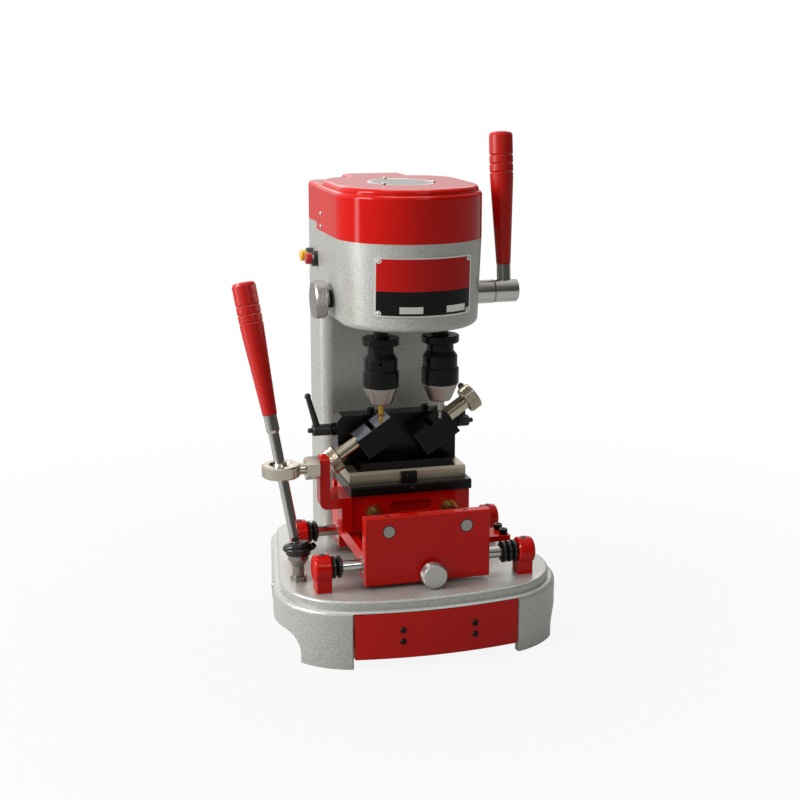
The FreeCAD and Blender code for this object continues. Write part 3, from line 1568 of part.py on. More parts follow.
def vise_body(side):
    """Black channel: a low front cheek, a rear cheek, a low end wall for the screw and a pivot."""
    half = vise_half_length
    floor = vise_box(side, -half, half, vise_front_y, vise_back_y, -vise_below, jaw_low_b)
    front = vise_box(side, -half, half, vise_front_y, jaw_y0, jaw_low_b - 1, vise_above)
    rear = vise_box(side, -half, half, jaw_y1, vise_back_y, jaw_low_b - 1, vise_above)
    end = vise_box(side, half - vise_end_wall, half, jaw_y0 - 1, jaw_y1 + 1, jaw_low_b - 1,
                   vise_above)
    pivot = along_y(vise_back_y - 1, vise_back_y + vise_pivot_length, 0, 0, vise_pivot_radius)
    body = fuse(floor, front, rear, end, pivot)
    bore = vise_rod(side, 0, half + 1, vise_middle_y, clamp_screw_b, clamp_screw_radius + run_gap)
    sill_b = vise_above - jaw_lip - side_gap
    sill = vise_box(side, -half - 1, half + 1, vise_front_y - 1, jaw_y0, sill_b, vise_above + 1)
    notch = vise_box(side, half - vise_end_wall - 1, half + 1, jaw_y0 - 1, jaw_y1, sill_b,
                     vise_above + 1)
    return tilted(cut(body, bore, sill, notch), side)


def fixed_jaw(side):
    """Ground steel jaw bolted in the closed end of the channel, with a lip over the front."""
    jaw = vise_box(side, -vise_half_length, -jaw_gap / 2, jaw_y0, jaw_y1, jaw_low_b,
                   vise_above - jaw_top_drop)
    lip = vise_box(side, -vise_half_length, -jaw_gap / 2, vise_front_y, jaw_y0 + 1,
                   vise_above - jaw_lip, vise_above - jaw_top_drop)
    return tilted(fuse(jaw, lip), side)


def moving_jaw(side):
    """Ground steel jaw that slides in the channel, with a cap over the front and the end wall."""
    back = jaw_gap / 2 + jaw_length
    jaw = vise_box(side, jaw_gap / 2, back, jaw_y0 + side_gap, jaw_y1 - side_gap,
                   jaw_low_b + side_gap, vise_above - jaw_top_drop)
    cap = vise_box(side, jaw_gap / 2, jaw_cap_end, vise_front_y, jaw_y1 - side_gap,
                   vise_above - jaw_lip, vise_above - jaw_top_drop)
    room = vise_rod(side, back, jaw_cap_end + 1, vise_middle_y, clamp_screw_b,
                    clamp_screw_radius + side_gap)
    return tilted(fuse(jaw, cut(cap, room)), side)


def clamp_screw(side):
    """Chrome clamp screw with its knurled knob."""
    start = jaw_gap / 2 + jaw_length
    shaft = vise_rod(side, start, clamp_knob_start, vise_middle_y, clamp_screw_b, clamp_screw_radius)
    knob = vise_rod(side, clamp_knob_start, clamp_knob_start + clamp_knob_length, vise_middle_y,
                    clamp_screw_b, clamp_knob_radius)
    knob = bevelled(knob, 1.2, lambda p: True)
    return tilted(fuse(shaft, knob), side)


def clamp_lever(side):
    """Black clamp lever: stud, hub and a leaning handle."""
    sign = knob_side[side]

    def across(x0, x1, radius):
        return along_x(min(sign * x0, sign * x1), max(sign * x0, sign * x1), clamp_lever_y,
                       clamp_lever_z, radius)

    start = carrier_ends[side] + clamp_boss_length + side_gap
    end = start + clamp_hub_length[side]
    stud = across(carrier_ends[side] - clamp_stud_length, start, clamp_stud_radius)
    pin = bevelled(across(end - 1, end + clamp_pin_length, clamp_pin_radius), 0.6, lambda p: True)
    hub = bevelled(across(start, end, clamp_hub_radius), 1.0, lambda p: True)
    handle = Part.makeCone(clamp_handle_radius, clamp_handle_tip_radius, clamp_handle_length)
    tip = Part.makeSphere(clamp_handle_ball_radius, Vector(0, 0, clamp_handle_length))
    handle = fuse(handle, tip)
    handle.rotate(Vector(0, 0, 0), Y_AXIS, sign * clamp_handle_lean[side])
    handle.translate(Vector(sign * (end - clamp_hub_radius), clamp_lever_y, clamp_lever_z))
    return fuse(stud, hub, pin, handle)


def lever_bracket():
    """Red bent bracket to the rod end, webbed to a flange on the upper carriage's side."""
    inner = -upper_half - bracket_reach + bracket_thickness
    outer = -upper_half - bracket_reach
    foot_top = upper_top_z - side_gap
    top = eye_z + bracket_top_above_eye
    y0 = eye_y - bracket_half_width
    y1 = eye_y + bracket_half_width
    half = bracket_thickness / 2
    low = foot_top - bracket_foot
    upright = fuse(box(outer, inner, y0, y1, low, top - bracket_half_width),
                   along_x(outer, inner, eye_y, top - bracket_half_width, bracket_half_width))
    crown = fuse(box(outer, inner, y0, y1, low, top - half),
                 along_y(y0, y1, outer + half, top - half, half))
    upright = upright.common(crown).removeSplitter()
    foot = box(outer, -upper_half, y0, y1, foot_top - bracket_foot, foot_top)
    bracket = rounded(fuse(upright, foot), bracket_foot * 0.7,
                      lambda p: near(p.z, foot_top - bracket_foot) and near(p.x, outer))
    flange_x = -upper_half - bracket_foot
    back = y0 + bracket_flange_depth
    web = Part.Face(Part.makePolygon([Vector(inner, y0, low), Vector(-upper_half, y0, low),
                                      Vector(-upper_half, back, low), Vector(flange_x, back, low),
                                      Vector(inner, y1, low), Vector(inner, y0, low)]))
    flange = box(flange_x, -upper_half, y0, back, foot_top - bracket_flange_height, foot_top)
    bracket = fuse(bracket, web.extrude(Vector(0, 0, bracket_foot)), flange)
    bore = along_x(outer - 1, inner + 1, eye_y, eye_z, eye_shank_radius)
    return cut(bracket, bore)


def rod_end():
    """Eye that the joystick passes through, with its shank and hex nut."""
    outer = -upper_half - bracket_reach
    inner = outer + bracket_thickness
    half = eye_height / 2
    ring = turned([(eye_bore_radius, eye_z), (eye_mouth_radius, eye_z - half),
                   (eye_radius - 1.5, eye_z - half), (eye_radius, eye_z - half + 1.5),
                   (eye_radius, eye_z + half - 1.5), (eye_radius - 1.5, eye_z + half),
                   (eye_mouth_radius, eye_z + half)], eye_x, eye_y)
    shank = along_x(eye_x + eye_mouth_radius + 2, inner, eye_y, eye_z, eye_shank_radius)
    nut = hex_prism(rod_nut_radius, rod_nut_length)
    nut.rotate(Vector(0, 0, 0), Y_AXIS, 90)
    nut.translate(Vector(outer - rod_nut_length, eye_y, eye_z))
    return fuse(ring, shank, nut)


# The joystick stands from its ball through the eye: a lean about Y, then a lean about X
lever_reach = Vector(eye_x - lever_pivot_x, eye_y - lever_pivot_y, eye_z - lever_pivot_z)
lever_lean_y = math.degrees(math.atan2(lever_reach.x, lever_reach.z))
lever_lean_x = -math.degrees(math.asin(lever_reach.y / lever_reach.Length))


def lever_placed(shape, lean_back):
    """Lean a joystick piece as it stands at rest and put it on its pivot."""
    if lean_back:
        shape.rotate(Vector(0, 0, 0), X_AXIS, lever_lean_x)
    shape.rotate(Vector(0, 0, 0), Y_AXIS, lever_lean_y)
    shape.translate(Vector(lever_pivot_x, lever_pivot_y, lever_pivot_z))
    return shape


def lever_ball():
    """Slotted ball with its cross pin."""
    ball = Part.makeSphere(lever_ball_radius)
    slot = box(-lever_slot_half - run_gap, lever_slot_half + run_gap, -2 * lever_ball_radius,
               2 * lever_ball_radius, -lever_ball_radius * 0.65, 2 * lever_ball_radius)
    pin_half = lever_ball_radius * 0.9
    pin = along_x(-pin_half, pin_half, 0, 0, lever_pin_radius)
    return lever_placed(fuse(cut(ball, slot), pin), False)


def lever_rod():
    """Chrome rod with a flat tongue on the ball's pin and a ferrule under the grip."""
    tongue = box(-lever_slot_half, lever_slot_half, -lever_pin_radius * 2, lever_pin_radius * 2,
                 -lever_pin_radius * 2, lever_ball_radius + 2)
    neck_low = lever_ball_radius + 1
    neck_top = neck_low + lever_neck_length
    rod = turned([(0, neck_low), (lever_neck_radius, neck_low), (lever_neck_radius, neck_top),
                  (lever_rod_radius, neck_top + lever_neck_length),
                  (lever_rod_radius, lever_rod_length), (0, lever_rod_length)])
    ferrule = turned([(0, lever_ferrule_start), (lever_rod_radius, lever_ferrule_start),
                      (lever_ferrule_radius, lever_ferrule_start + 3),
                      (lever_ferrule_radius, lever_ferrule_start + lever_ferrule_length),
                      (0, lever_ferrule_start + lever_ferrule_length)])
    hole = along_x(-lever_slot_half - 1, lever_slot_half + 1, 0, 0, lever_pin_radius + run_gap)
    return lever_placed(cut(fuse(tongue, rod, ferrule), hole), True)


def lever_grip():
    """Red joystick grip."""
    return lever_placed(grip(lever_ferrule_start + lever_ferrule_length + grip_length), True)


def lever_socket():
    """Hex foot, post and cup that hold the joystick's ball."""
    foot = hex_prism(socket_flange_radius, socket_flange_height)
    foot.translate(Vector(lever_pivot_x, lever_pivot_y, deck_z))
    post_top = deck_z + socket_flange_height + socket_post_height
    post = along_z(deck_z, post_top, lever_pivot_x, lever_pivot_y, socket_post_radius)
    rim_z = lever_pivot_z + socket_rim_rise
    cup = turned([(0, post_top), (socket_post_radius, post_top),
                  (socket_cup_radius, post_top + socket_bowl_height),
                  (socket_cup_radius, rim_z), (0, rim_z)], lever_pivot_x, lever_pivot_y)
    ball = Part.makeSphere(lever_ball_radius + run_gap,
                           Vector(lever_pivot_x, lever_pivot_y, lever_pivot_z))
    mouth = along_z(lever_pivot_z, rim_z + 1, lever_pivot_x, lever_pivot_y,
                    lever_ball_radius + run_gap)
    return cut(fuse(foot, post, cup), ball, mouth)


def lever_boot():
    """Rubber ring that grips the cup's rim."""
    center = Vector(lever_pivot_x, lever_pivot_y, lever_pivot_z + boot_rise)
    rim_z = lever_pivot_z + socket_rim_rise
    ring = Part.makeTorus(boot_major_radius, boot_minor_radius, center, Z_AXIS)
    skirt = along_z(rim_z - boot_minor_radius, center.z, lever_pivot_x, lever_pivot_y,
                    boot_major_radius + boot_minor_radius / 3)
    room = along_z(lever_pivot_z, center.z + 2 * boot_minor_radius, lever_pivot_x, lever_pivot_y,
                   boot_major_radius - boot_minor_radius)
    cup = along_z(lever_pivot_z, rim_z, lever_pivot_x, lever_pivot_y, socket_cup_radius)
    return cut(fuse(ring, skirt), cup, room)


pieces = {
    "base_casting": base_casting,
    "drawer_front": drawer_front,
    "drawer_screws": drawer_screws,
    "drawer_tray": drawer_tray,
    "column_casting": column_casting,
    "rear_panel": rear_panel,
    "power_inlet": power_inlet,
    "top_cover": top_cover,
    "vent_grille": vent_grille,
    "frame_screws": frame_screws,
    "name_plate": name_plate,
    "switch_bezels": switch_bezels,
    "stop_button": lambda: push_button(button_places()[0]),
    "start_button": lambda: push_button(button_places()[1]),
    "quills": quills,
    "quill_yoke": quill_yoke,
    "feed_shaft": feed_shaft,
    "feed_boss": feed_boss,
    "feed_grip": feed_grip,
    "lock_bush": lock_bush,
    "quill_lock_knob": quill_lock_knob,
    "cutter_spindle": cutter_spindle,
    "cutter_chuck": lambda: chuck_sleeve("left"),
    "cutter": lambda: tool(spindle_xs["left"], cutter_drop, cutter_tip_radius, cutter_tip_length),
    "tracer_spindle": tracer_spindle,
    "tracer_chuck": lambda: chuck_sleeve("right"),
    "tracer": lambda: tool(spindle_xs["right"], tracer_drop, tracer_tip_radius, tracer_tip_length),
    "spindle_pulley": spindle_pulley,
    "motor_housing": motor_housing,
    "motor_rotor": motor_rotor,
    "drive_belt": drive_belt,
    "pedestals": pedestals,
    "x_rods": x_rods,
    "rubber_parts": rubber_parts,
    "lower_carriage": lower_carriage,
    "carriage_screws": carriage_screws,
    "x_bushings": x_bushings,
    "y_rods": y_rods,
    "carriage_lock_knob": carriage_lock_knob,
    "upper_carriage": upper_carriage,
    "brass_bushings": brass_bushings,
    "cross_plate": cross_plate,
    "steel_table": steel_table,
    "vise_carrier": vise_carrier,
    "lever_bracket": lever_bracket,
    "rod_end": rod_end,
    "lever_ball": lever_ball,
    "lever_rod": lever_rod,
    "lever_grip": lever_grip,
    "lever_socket": lever_socket,
}
for vise in ("left", "right"):
    pieces[vise + "_vise_body"] = lambda vise=vise: vise_body(vise)
    pieces[vise + "_fixed_jaw"] = lambda vise=vise: fixed_jaw(vise)
    pieces[vise + "_moving_jaw"] = lambda vise=vise: moving_jaw(vise)
    pieces[vise + "_clamp_screw"] = lambda vise=vise: clamp_screw(vise)
    pieces[vise + "_clamp_lever"] = lambda vise=vise: clamp_lever(vise)

os.makedirs("parts", exist_ok=True)
for name, make in pieces.items():
    shape = make()
    shape.exportStep("parts/" + name + ".step")
    print(name, len(shape.Solids), round(shape.Volume / 1000, 2), "cm3", shape.isValid())
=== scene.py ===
import math
import bmesh
import bpy
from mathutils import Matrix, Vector


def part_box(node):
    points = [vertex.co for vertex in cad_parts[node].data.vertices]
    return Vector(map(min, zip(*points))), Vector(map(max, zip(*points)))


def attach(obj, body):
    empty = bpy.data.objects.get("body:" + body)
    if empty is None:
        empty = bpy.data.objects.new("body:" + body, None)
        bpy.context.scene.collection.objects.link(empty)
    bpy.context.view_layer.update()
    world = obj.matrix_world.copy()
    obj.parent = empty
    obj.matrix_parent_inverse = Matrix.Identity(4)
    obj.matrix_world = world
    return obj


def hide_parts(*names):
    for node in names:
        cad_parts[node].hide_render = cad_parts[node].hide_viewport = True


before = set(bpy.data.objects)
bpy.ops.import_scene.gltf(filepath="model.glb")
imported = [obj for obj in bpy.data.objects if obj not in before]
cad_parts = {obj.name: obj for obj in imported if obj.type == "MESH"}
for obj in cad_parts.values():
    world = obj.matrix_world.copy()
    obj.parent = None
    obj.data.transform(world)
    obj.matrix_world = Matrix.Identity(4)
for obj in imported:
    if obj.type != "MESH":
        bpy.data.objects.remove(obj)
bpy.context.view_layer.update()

mm = 0.001


# Base: a grey iron casting that stands on its skirt, arched at both sides for the fingers.
# It is sand cast, filled and sprayed with hammertone enamel. The column and head are a second
# casting bolted on it from below, and the panel on the column's back is sprayed with them.
def linear(shade):
    """Linear colour of an sRGB hex shade."""
    parts = [int(shade[i:i + 2], 16) / 255 for i in (1, 3, 5)]
    return tuple(p / 12.92 if p <= 0.04045 else ((p + 0.055) / 1.055) ** 2.4 for p in parts) + (1.0,)


def node(tree, kind, sockets=None, **settings):
    """Adds a shader node. A socket gets a value, or a link written as (node, output)."""
    made = tree.nodes.new("ShaderNode" + kind)
    for name, value in settings.items():
        setattr(made, name, value)
    for name, value in (sockets or {}).items():
        if isinstance(value, tuple) and isinstance(value[0], bpy.types.Node):
            tree.links.new(value[0].outputs[value[1]], made.inputs[name])
        else:
            made.inputs[name].default_value = value
    return made


def new_finish(name):
    """An empty material, its node tree and the part's own coordinates in metres."""
    material = bpy.data.materials.new(name)
    material.use_nodes = True
    material.node_tree.nodes.clear()
    return material, material.node_tree, node(material.node_tree, "TexCoord")


# This edge mask lightens colour along edges: as painted highlight on the red enamel and bare steels, and
# as wear plus painted highlight on black oxide.
def edge_wear_and_highlight(tree, width):
    """Node that is 1 on sharp outer and inner edges and 0 on flats, over a width in mm."""
    soft = node(tree, "Bevel", {"Radius": width * mm}, samples=6)
    hard = node(tree, "NewGeometry")
    same = node(tree, "VectorMath", {0: (soft, "Normal"), 1: (hard, "Normal")},
                operation="DOT_PRODUCT")
    return node(tree, "MapRange", {"Value": (same, "Value"), "From Min": 0.995, "From Max": 0.8})


def dress(material, *names):
    """Gives a material to CAD nodes."""
    for name in names:
        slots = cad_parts[name].data.materials
        slots.clear()
        slots.append(material)


# Hammertone enamel: leafing aluminium in a stoved resin that pulls into shallow dimples a
# millimetre or two across, so the eye sees a pale grey skin with a fine broken sparkle.
hammertone, tree, place = new_finish("hammertone_enamel")
dimple_mm, flake_mm, drift_mm = 1.9, 0.8, 70
dimples = node(tree, "TexVoronoi", {"Vector": (place, "Object"), "Scale": 1000 / dimple_mm,
                                    "Smoothness": 0.7}, feature="SMOOTH_F1")
flakes = node(tree, "TexNoise", {"Vector": (place, "Object"), "Scale": 1000 / flake_mm,
                                 "Detail": 2.0})
drift = node(tree, "TexNoise", {"Vector": (place, "Object"), "Scale": 1000 / drift_mm,
                                "Detail": 3.0})
height = node(tree, "Math", {0: (dimples, "Distance"), 1: (flakes, 0)}, operation="ADD")
tone = node(tree, "MapRange", {"Value": (height, 0), "From Min": 0.55, "From Max": 1.15})
grey = node(tree, "Mix", {"Factor": (tone, 0), 6: linear("#d3d4cf"), 7: linear("#9c9d97")},
            data_type="RGBA")
wash = node(tree, "Mix", {"Factor": (drift, 0), 6: (grey, 2), 7: linear("#babbb5")}, data_type="RGBA")
shine = node(tree, "MapRange", {"Value": (flakes, 0), "To Min": 0.24, "To Max": 0.4})
relief = node(tree, "Bump", {"Height": (height, 0), "Strength": 0.5, "Distance": 0.25 * mm})
paint = node(tree, "BsdfPrincipled", {"Base Color": (wash, 2), "Metallic": 0.35, "IOR": 1.5,
                                      "Roughness": (shine, 0), "Normal": (relief, 0)})
node(tree, "OutputMaterial", {"Surface": (paint, 0)})
dress(hammertone, "base_casting", "column_casting", "rear_panel")


# Drawer: a folded sheet steel tray on two cast runners, closed by a bowed steel front.
# The front is stove enamelled red and held on by black button head socket screws.
# Gloss enamel: sprayed and baked, so it is even and shiny with a faint orange peel skin. It draws
# back to a soft round on hard edges that catches the lamps, and a painted highlight lightens its colour
# along them.
red_enamel, tree, place = new_finish("red_stove_enamel")
peel_mm, haze_mm = 3.0, 45
peel = node(tree, "TexNoise", {"Vector": (place, "Object"), "Scale": 1000 / peel_mm, "Detail": 1.0})
haze = node(tree, "TexNoise", {"Vector": (place, "Object"), "Scale": 1000 / haze_mm, "Detail": 4.0})
edge = edge_wear_and_highlight(tree, 0.9)
depth = node(tree, "Mix", {"Factor": (haze, 0), 6: linear("#cb1108"), 7: linear("#b90c05")},
             data_type="RGBA")
# Painted highlight: the red is lightened towards #e4523a along hard edges.
painted_edge_highlight = node(tree, "Math", {0: (edge, 0), 1: 0.3}, operation="MULTIPLY")
red = node(tree, "Mix", {"Factor": (painted_edge_highlight, 0), 6: (depth, 2), 7: linear("#e4523a")}, data_type="RGBA")
shine = node(tree, "MapRange", {"Value": (haze, 0), "To Min": 0.08, "To Max": 0.17})
soft = node(tree, "Bevel", {"Radius": 0.6 * mm}, samples=4)
relief = node(tree, "Bump", {"Height": (peel, 0), "Strength": 0.1, "Distance": 0.08 * mm,
                             "Normal": (soft, 0)})
paint = node(tree, "BsdfPrincipled", {"Base Color": (red, 2), "IOR": 1.5, "Specular IOR Level": 0.2,
                                      "Roughness": (shine, 0), "Normal": (relief, 0)})
node(tree, "OutputMaterial", {"Surface": (paint, 0)})
dress(red_enamel, "drawer_front")

# Zinc plate on cold rolled sheet: a cool grey metal with a cloudy, slightly rough spangle.
zinc_plate, tree, place = new_finish("zinc_plated_sheet")
spangle_mm = 6
spangle = node(tree, "TexVoronoi", {"Vector": (place, "Object"), "Scale": 1000 / spangle_mm})
shine = node(tree, "MapRange", {"Value": (spangle, "Distance"), "To Min": 0.32, "To Max": 0.5})
cloud = node(tree, "Mix", {"Factor": (spangle, "Distance"), 6: linear("#b9bcbd"),
                           7: linear("#9da1a3")}, data_type="RGBA")
sheet = node(tree, "BsdfPrincipled", {"Base Color": (cloud, 2), "Metallic": 1.0,
                                      "Roughness": (shine, 0)})
node(tree, "OutputMaterial", {"Surface": (sheet, 0)})
dress(zinc_plate, "drawer_tray")

# Black oxide on machined steel: a blue-black oiled skin, satin, with the mill's fine marks under
# it and a lighter grey on the corners, partly bare worn steel and partly painted highlight.
black_oxide, tree, place = new_finish("black_oxide_steel")
mark_mm, stain_mm = 0.7, 18
marks = node(tree, "TexNoise", {"Vector": (place, "Object"), "Scale": 1000 / mark_mm, "Detail": 2.0})
stain = node(tree, "TexNoise", {"Vector": (place, "Object"), "Scale": 1000 / stain_mm, "Detail": 4.0})
edge = edge_wear_and_highlight(tree, 0.5)
# Corners lighten to grey, partly as wear and partly as a painted highlight along the edges.
bare = node(tree, "Math", {0: (edge, 0), 1: (stain, 0)}, operation="MULTIPLY")
skin = node(tree, "Mix", {"Factor": (stain, 0), 6: linear("#090909"), 7: linear("#131211")},
            data_type="RGBA")
black = node(tree, "Mix", {"Factor": (bare, 0), 6: (skin, 2), 7: linear("#6b6864")}, data_type="RGBA")
shine = node(tree, "MapRange", {"Value": (stain, 0), "To Min": 0.22, "To Max": 0.36})
relief = node(tree, "Bump", {"Height": (marks, 0), "Strength": 0.12, "Distance": 0.05 * mm})
oxide = node(tree, "BsdfPrincipled", {"Base Color": (black, 2), "Metallic": 0.5,
                                      "Specular IOR Level": 0.35, "Roughness": (shine, 0),
                                      "Normal": (relief, 0)})
node(tree, "OutputMaterial", {"Surface": (oxide, 0)})


def spin(mesh, rings, at, toward, steps=48, hollow=False):
    """Turned form of rings (mm along the axis, radius in mm), or (mm, radius, 6) for a hexagon."""
    axis = Vector(toward).normalized()
    side = axis.orthogonal().normalized()
    other = axis.cross(side)
    loops = []
    for ring in rings:
        loop = []
        for i in range(steps):
            turn = 2 * math.pi * i / steps
            radius = ring[1]
            if len(ring) == 3:
                radius *= math.cos(math.pi / 6) / math.cos(turn % (math.pi / 3) - math.pi / 6)
            out = (side * math.cos(turn) + other * math.sin(turn)) * radius
            loop.append(mesh.verts.new((Vector(at) + axis * ring[0] + out) * mm))
        loops.append(loop)
    following = loops[1:] + loops[:1] if hollow else loops[1:]
    for low, high in zip(loops, following):
        for i in range(steps):
            j = (i + 1) % steps
            mesh.faces.new((low[i], low[j], high[j], high[i]))
    if not hollow:
        mesh.faces.new(loops[0][::-1])
        mesh.faces.new(loops[-1])


def piece(name, mesh, material, body, smooth_to=32):
    """Turns a bmesh into an object of the machine that rides on a body."""
    bmesh.ops.recalc_face_normals(mesh, faces=mesh.faces)
    for face in mesh.faces:
        face.smooth = True
    for line in mesh.edges:
        line.smooth = line.calc_face_angle(0) < math.radians(smooth_to)
    data = bpy.data.meshes.new(name)
    mesh.to_mesh(data)
    mesh.free()
    made = bpy.data.objects.new(name, data)
    bpy.context.scene.collection.objects.link(made)
    data.materials.append(material)
    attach(made, body)
    return made


def button_head(radius, height):
    """Rings of a domed head with a hexagon socket, from its seat up and down into the socket."""
    return [(-1.0, radius * 0.9), (0, radius * 0.97), (height * 0.25, radius),
            (height * 0.6, radius * 0.9), (height * 0.9, radius * 0.68), (height, radius * 0.52),
            (height, radius * 0.5, 6), (height * 0.35, radius * 0.5, 6)]


front_xs, front_zs, front_y = (-37.8, 37.8), (27.8, 39.8), -108.3
screws = bmesh.new()
for x in front_xs:
    for z in front_zs:
        spin(screws, button_head(3.3, 2.2), (x, front_y, z), (0, -1, 0))
drawer_screws = piece("drawer_button_screws", screws, black_oxide, "drawer")
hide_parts("drawer_screws")


# Power inlet: a moulded three pin socket screwed into the foot of the column's back.
# Glass filled nylon, black, with a fine spark eroded grain from its mould. The buttons' bezels and
# the motor's can are moulded from it too.
black_nylon, tree, place = new_finish("moulded_black_nylon")
grain_mm = 0.6
grain = node(tree, "TexNoise", {"Vector": (place, "Object"), "Scale": 1000 / grain_mm, "Detail": 3.0})
shade = node(tree, "Mix", {"Factor": (grain, 0), 6: linear("#0d0d0d"), 7: linear("#191918")},
             data_type="RGBA")
relief = node(tree, "Bump", {"Height": (grain, 0), "Strength": 0.15, "Distance": 0.05 * mm})
nylon = node(tree, "BsdfPrincipled", {"Base Color": (shade, 2), "Roughness": 0.42, "IOR": 1.53,
                                      "Normal": (relief, 0)})
node(tree, "OutputMaterial", {"Surface": (nylon, 0)})
dress(black_nylon, "power_inlet", "switch_bezels", "motor_housing")


# Cover: a deep drawn steel hood over the belt and motor, with a raised lid along its top.
# It is enamelled like the drawer and held by screws on its sides.
dress(red_enamel, "top_cover")

# Bright steel: screws, wire and small turned pieces of plain carbon steel, plated with bright zinc,
# so they mirror softly, with fine scuffs from handling.
bright_steel, tree, place = new_finish("bright_zinc_steel")
scuff_mm = 1.5
scuff = node(tree, "TexNoise", {"Vector": (place, "Object"), "Scale": 1000 / scuff_mm, "Detail": 3.0})
shine = node(tree, "MapRange", {"Value": (scuff, 0), "To Min": 0.2, "To Max": 0.38})
tint = node(tree, "Mix", {"Factor": (scuff, 0), 6: linear("#c9c9c6"), 7: linear("#a9a9a5")},
            data_type="RGBA")
steel = node(tree, "BsdfPrincipled", {"Base Color": (tint, 2), "Metallic": 1.0,
                                      "Roughness": (shine, 0)})
node(tree, "OutputMaterial", {"Surface": (steel, 0)})

pan_head = [(-1.0, 2.3), (0, 2.55), (0.5, 2.7), (1.1, 2.5), (1.6, 1.9), (1.8, 1.2), (1.8, 1.05, 6),
            (0.7, 1.05, 6)]
rim_head = [(d, r * 0.85, *s) for d, r, *s in pan_head]
panel_head = [(d, r * 1.12, *s) for d, r, *s in pan_head]
bolt_head = [(0, 10, 6), (6.3, 10, 6), (7, 9.2, 6)]
drive_pin = [(-1.2, 1.3), (0, 1.45), (0.35, 1.4), (0.7, 1.0), (0.85, 0.4)]
cover_x, cover_y, cover_zs = -76, 78, (424.0, 437.5)
rim_half_x, rim_half_y, rim_y, rim_z = 33, 43, 40, 472
panel_xs, panel_zs, panel_y = (-52.5, 52.5), (111.5, 304.5), 171
bolt_xs, bolt_ys, bolt_z = (-52, 52), (125, 151), 59
pin_x, pin_zs = 46.4, (350.4, 402.7)
bow_y, bow_radius, bow_gain, head_low, head_rise = 13, 73.6, 3.5, 330, 89
skirt_at, skirt_way = (-143.5, 30.9, 48), (-0.982, 0.187, 0)
screws = bmesh.new()
for z in cover_zs:
    spin(screws, pan_head, (cover_x, cover_y, z), (-1, 0, 0), steps=24)
for degrees in (-20, 100, 220):
    turn = math.radians(degrees)
    x, y = rim_half_x * math.cos(turn), rim_y + rim_half_y * math.sin(turn)
    spin(screws, rim_head, (x, y, rim_z), (0, 0, 1), steps=24)
for x in panel_xs:
    for z in panel_zs:
        spin(screws, panel_head, (x, panel_y, z), (0, 1, 0), steps=24)
for x in bolt_xs:
    for y in bolt_ys:
        spin(screws, bolt_head, (x, y, bolt_z), (0, 0, -1), steps=24)
for z in pin_zs:
    bow = bow_radius + bow_gain * (z - head_low) / head_rise
    for x in (-pin_x, pin_x):
        out = (x, -math.sqrt(bow ** 2 - x ** 2), 0)
        spin(screws, drive_pin, (x, bow_y + out[1], z), out, steps=20)
spin(screws, button_head(4.0, 2.0), skirt_at, skirt_way, steps=36)
frame_screws = piece("frame_screw_heads", screws, bright_steel, "frame")
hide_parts("frame_screws")

# Vent: woven wire under an oval rim in the lid, for the motor's air. Galvanised wire, 1 mm thick
# on a 3.4 mm pitch, so the eye sees grey crossing lines over a dark opening.
wire_mm, pitch_mm, crimp_mm, rim_mm = 0.95, 3.4, 0.4, 3.2
wire_sides, rim_steps = 5, 96
half_x, half_y, middle_y, lid_z = 34.6, 44.6, 40.0, 471.6
rim_section = ((0, -1.1), (0, 0.1), (0.4, 0.4), (rim_mm - 0.4, 0.4), (rim_mm, 0.1), (rim_mm, -1.1))
mesh = bmesh.new()
loops = []
for inset, level in rim_section:
    loop = []
    for i in range(rim_steps):
        turn = 2 * math.pi * i / rim_steps
        spot = ((half_x - inset) * math.cos(turn), middle_y + (half_y - inset) * math.sin(turn),
                lid_z + level)
        loop.append(mesh.verts.new(Vector(spot) * mm))
    loops.append(loop)
for low, high in zip(loops, loops[1:] + loops[:1]):
    for i in range(rim_steps):
        j = (i + 1) % rim_steps
        mesh.faces.new((low[i], low[j], high[j], high[i]))


def weave(mesh, along, across, offset, phase):
    """One crimped wire of the vent's mesh between its ends in the rim."""
    room = 1 - (offset / (across[1] - rim_mm / 2)) ** 2
    if room <= 0.02:
        return
    reach = (along[1] - rim_mm / 2) * math.sqrt(room)
    count = max(2, int(2 * reach / (pitch_mm / 2)))
    last = None
    for k in range(count + 1):
        s = -reach + 2 * reach * k / count
        lift = crimp_mm * math.cos(math.pi * s / pitch_mm + phase)
        spot = Vector((0, middle_y, lid_z - crimp_mm + lift)) + Vector(along[0]) * s
        spot += Vector(across[0]) * offset
        loop = []
        for i in range(wire_sides):
            turn = 2 * math.pi * i / wire_sides
            loop.append(mesh.verts.new((spot + Vector(across[0]) * (math.cos(turn) * wire_mm / 2)
                                        + Vector((0, 0, math.sin(turn) * wire_mm / 2))) * mm))
        if last:
            for i in range(wire_sides):
                j = (i + 1) % wire_sides
                mesh.faces.new((last[i], last[j], loop[j], loop[i]))
        last = loop


x_way, y_way = ((1, 0, 0), half_x), ((0, 1, 0), half_y)
for k in range(-13, 14):
    weave(mesh, x_way, y_way, k * pitch_mm, math.pi * k)
for k in range(-10, 11):
    weave(mesh, y_way, x_way, k * pitch_mm, math.pi * (k + 1))
vent = piece("vent_wire_mesh", mesh, bright_steel, "frame", smooth_to=50)
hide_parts("vent_grille")


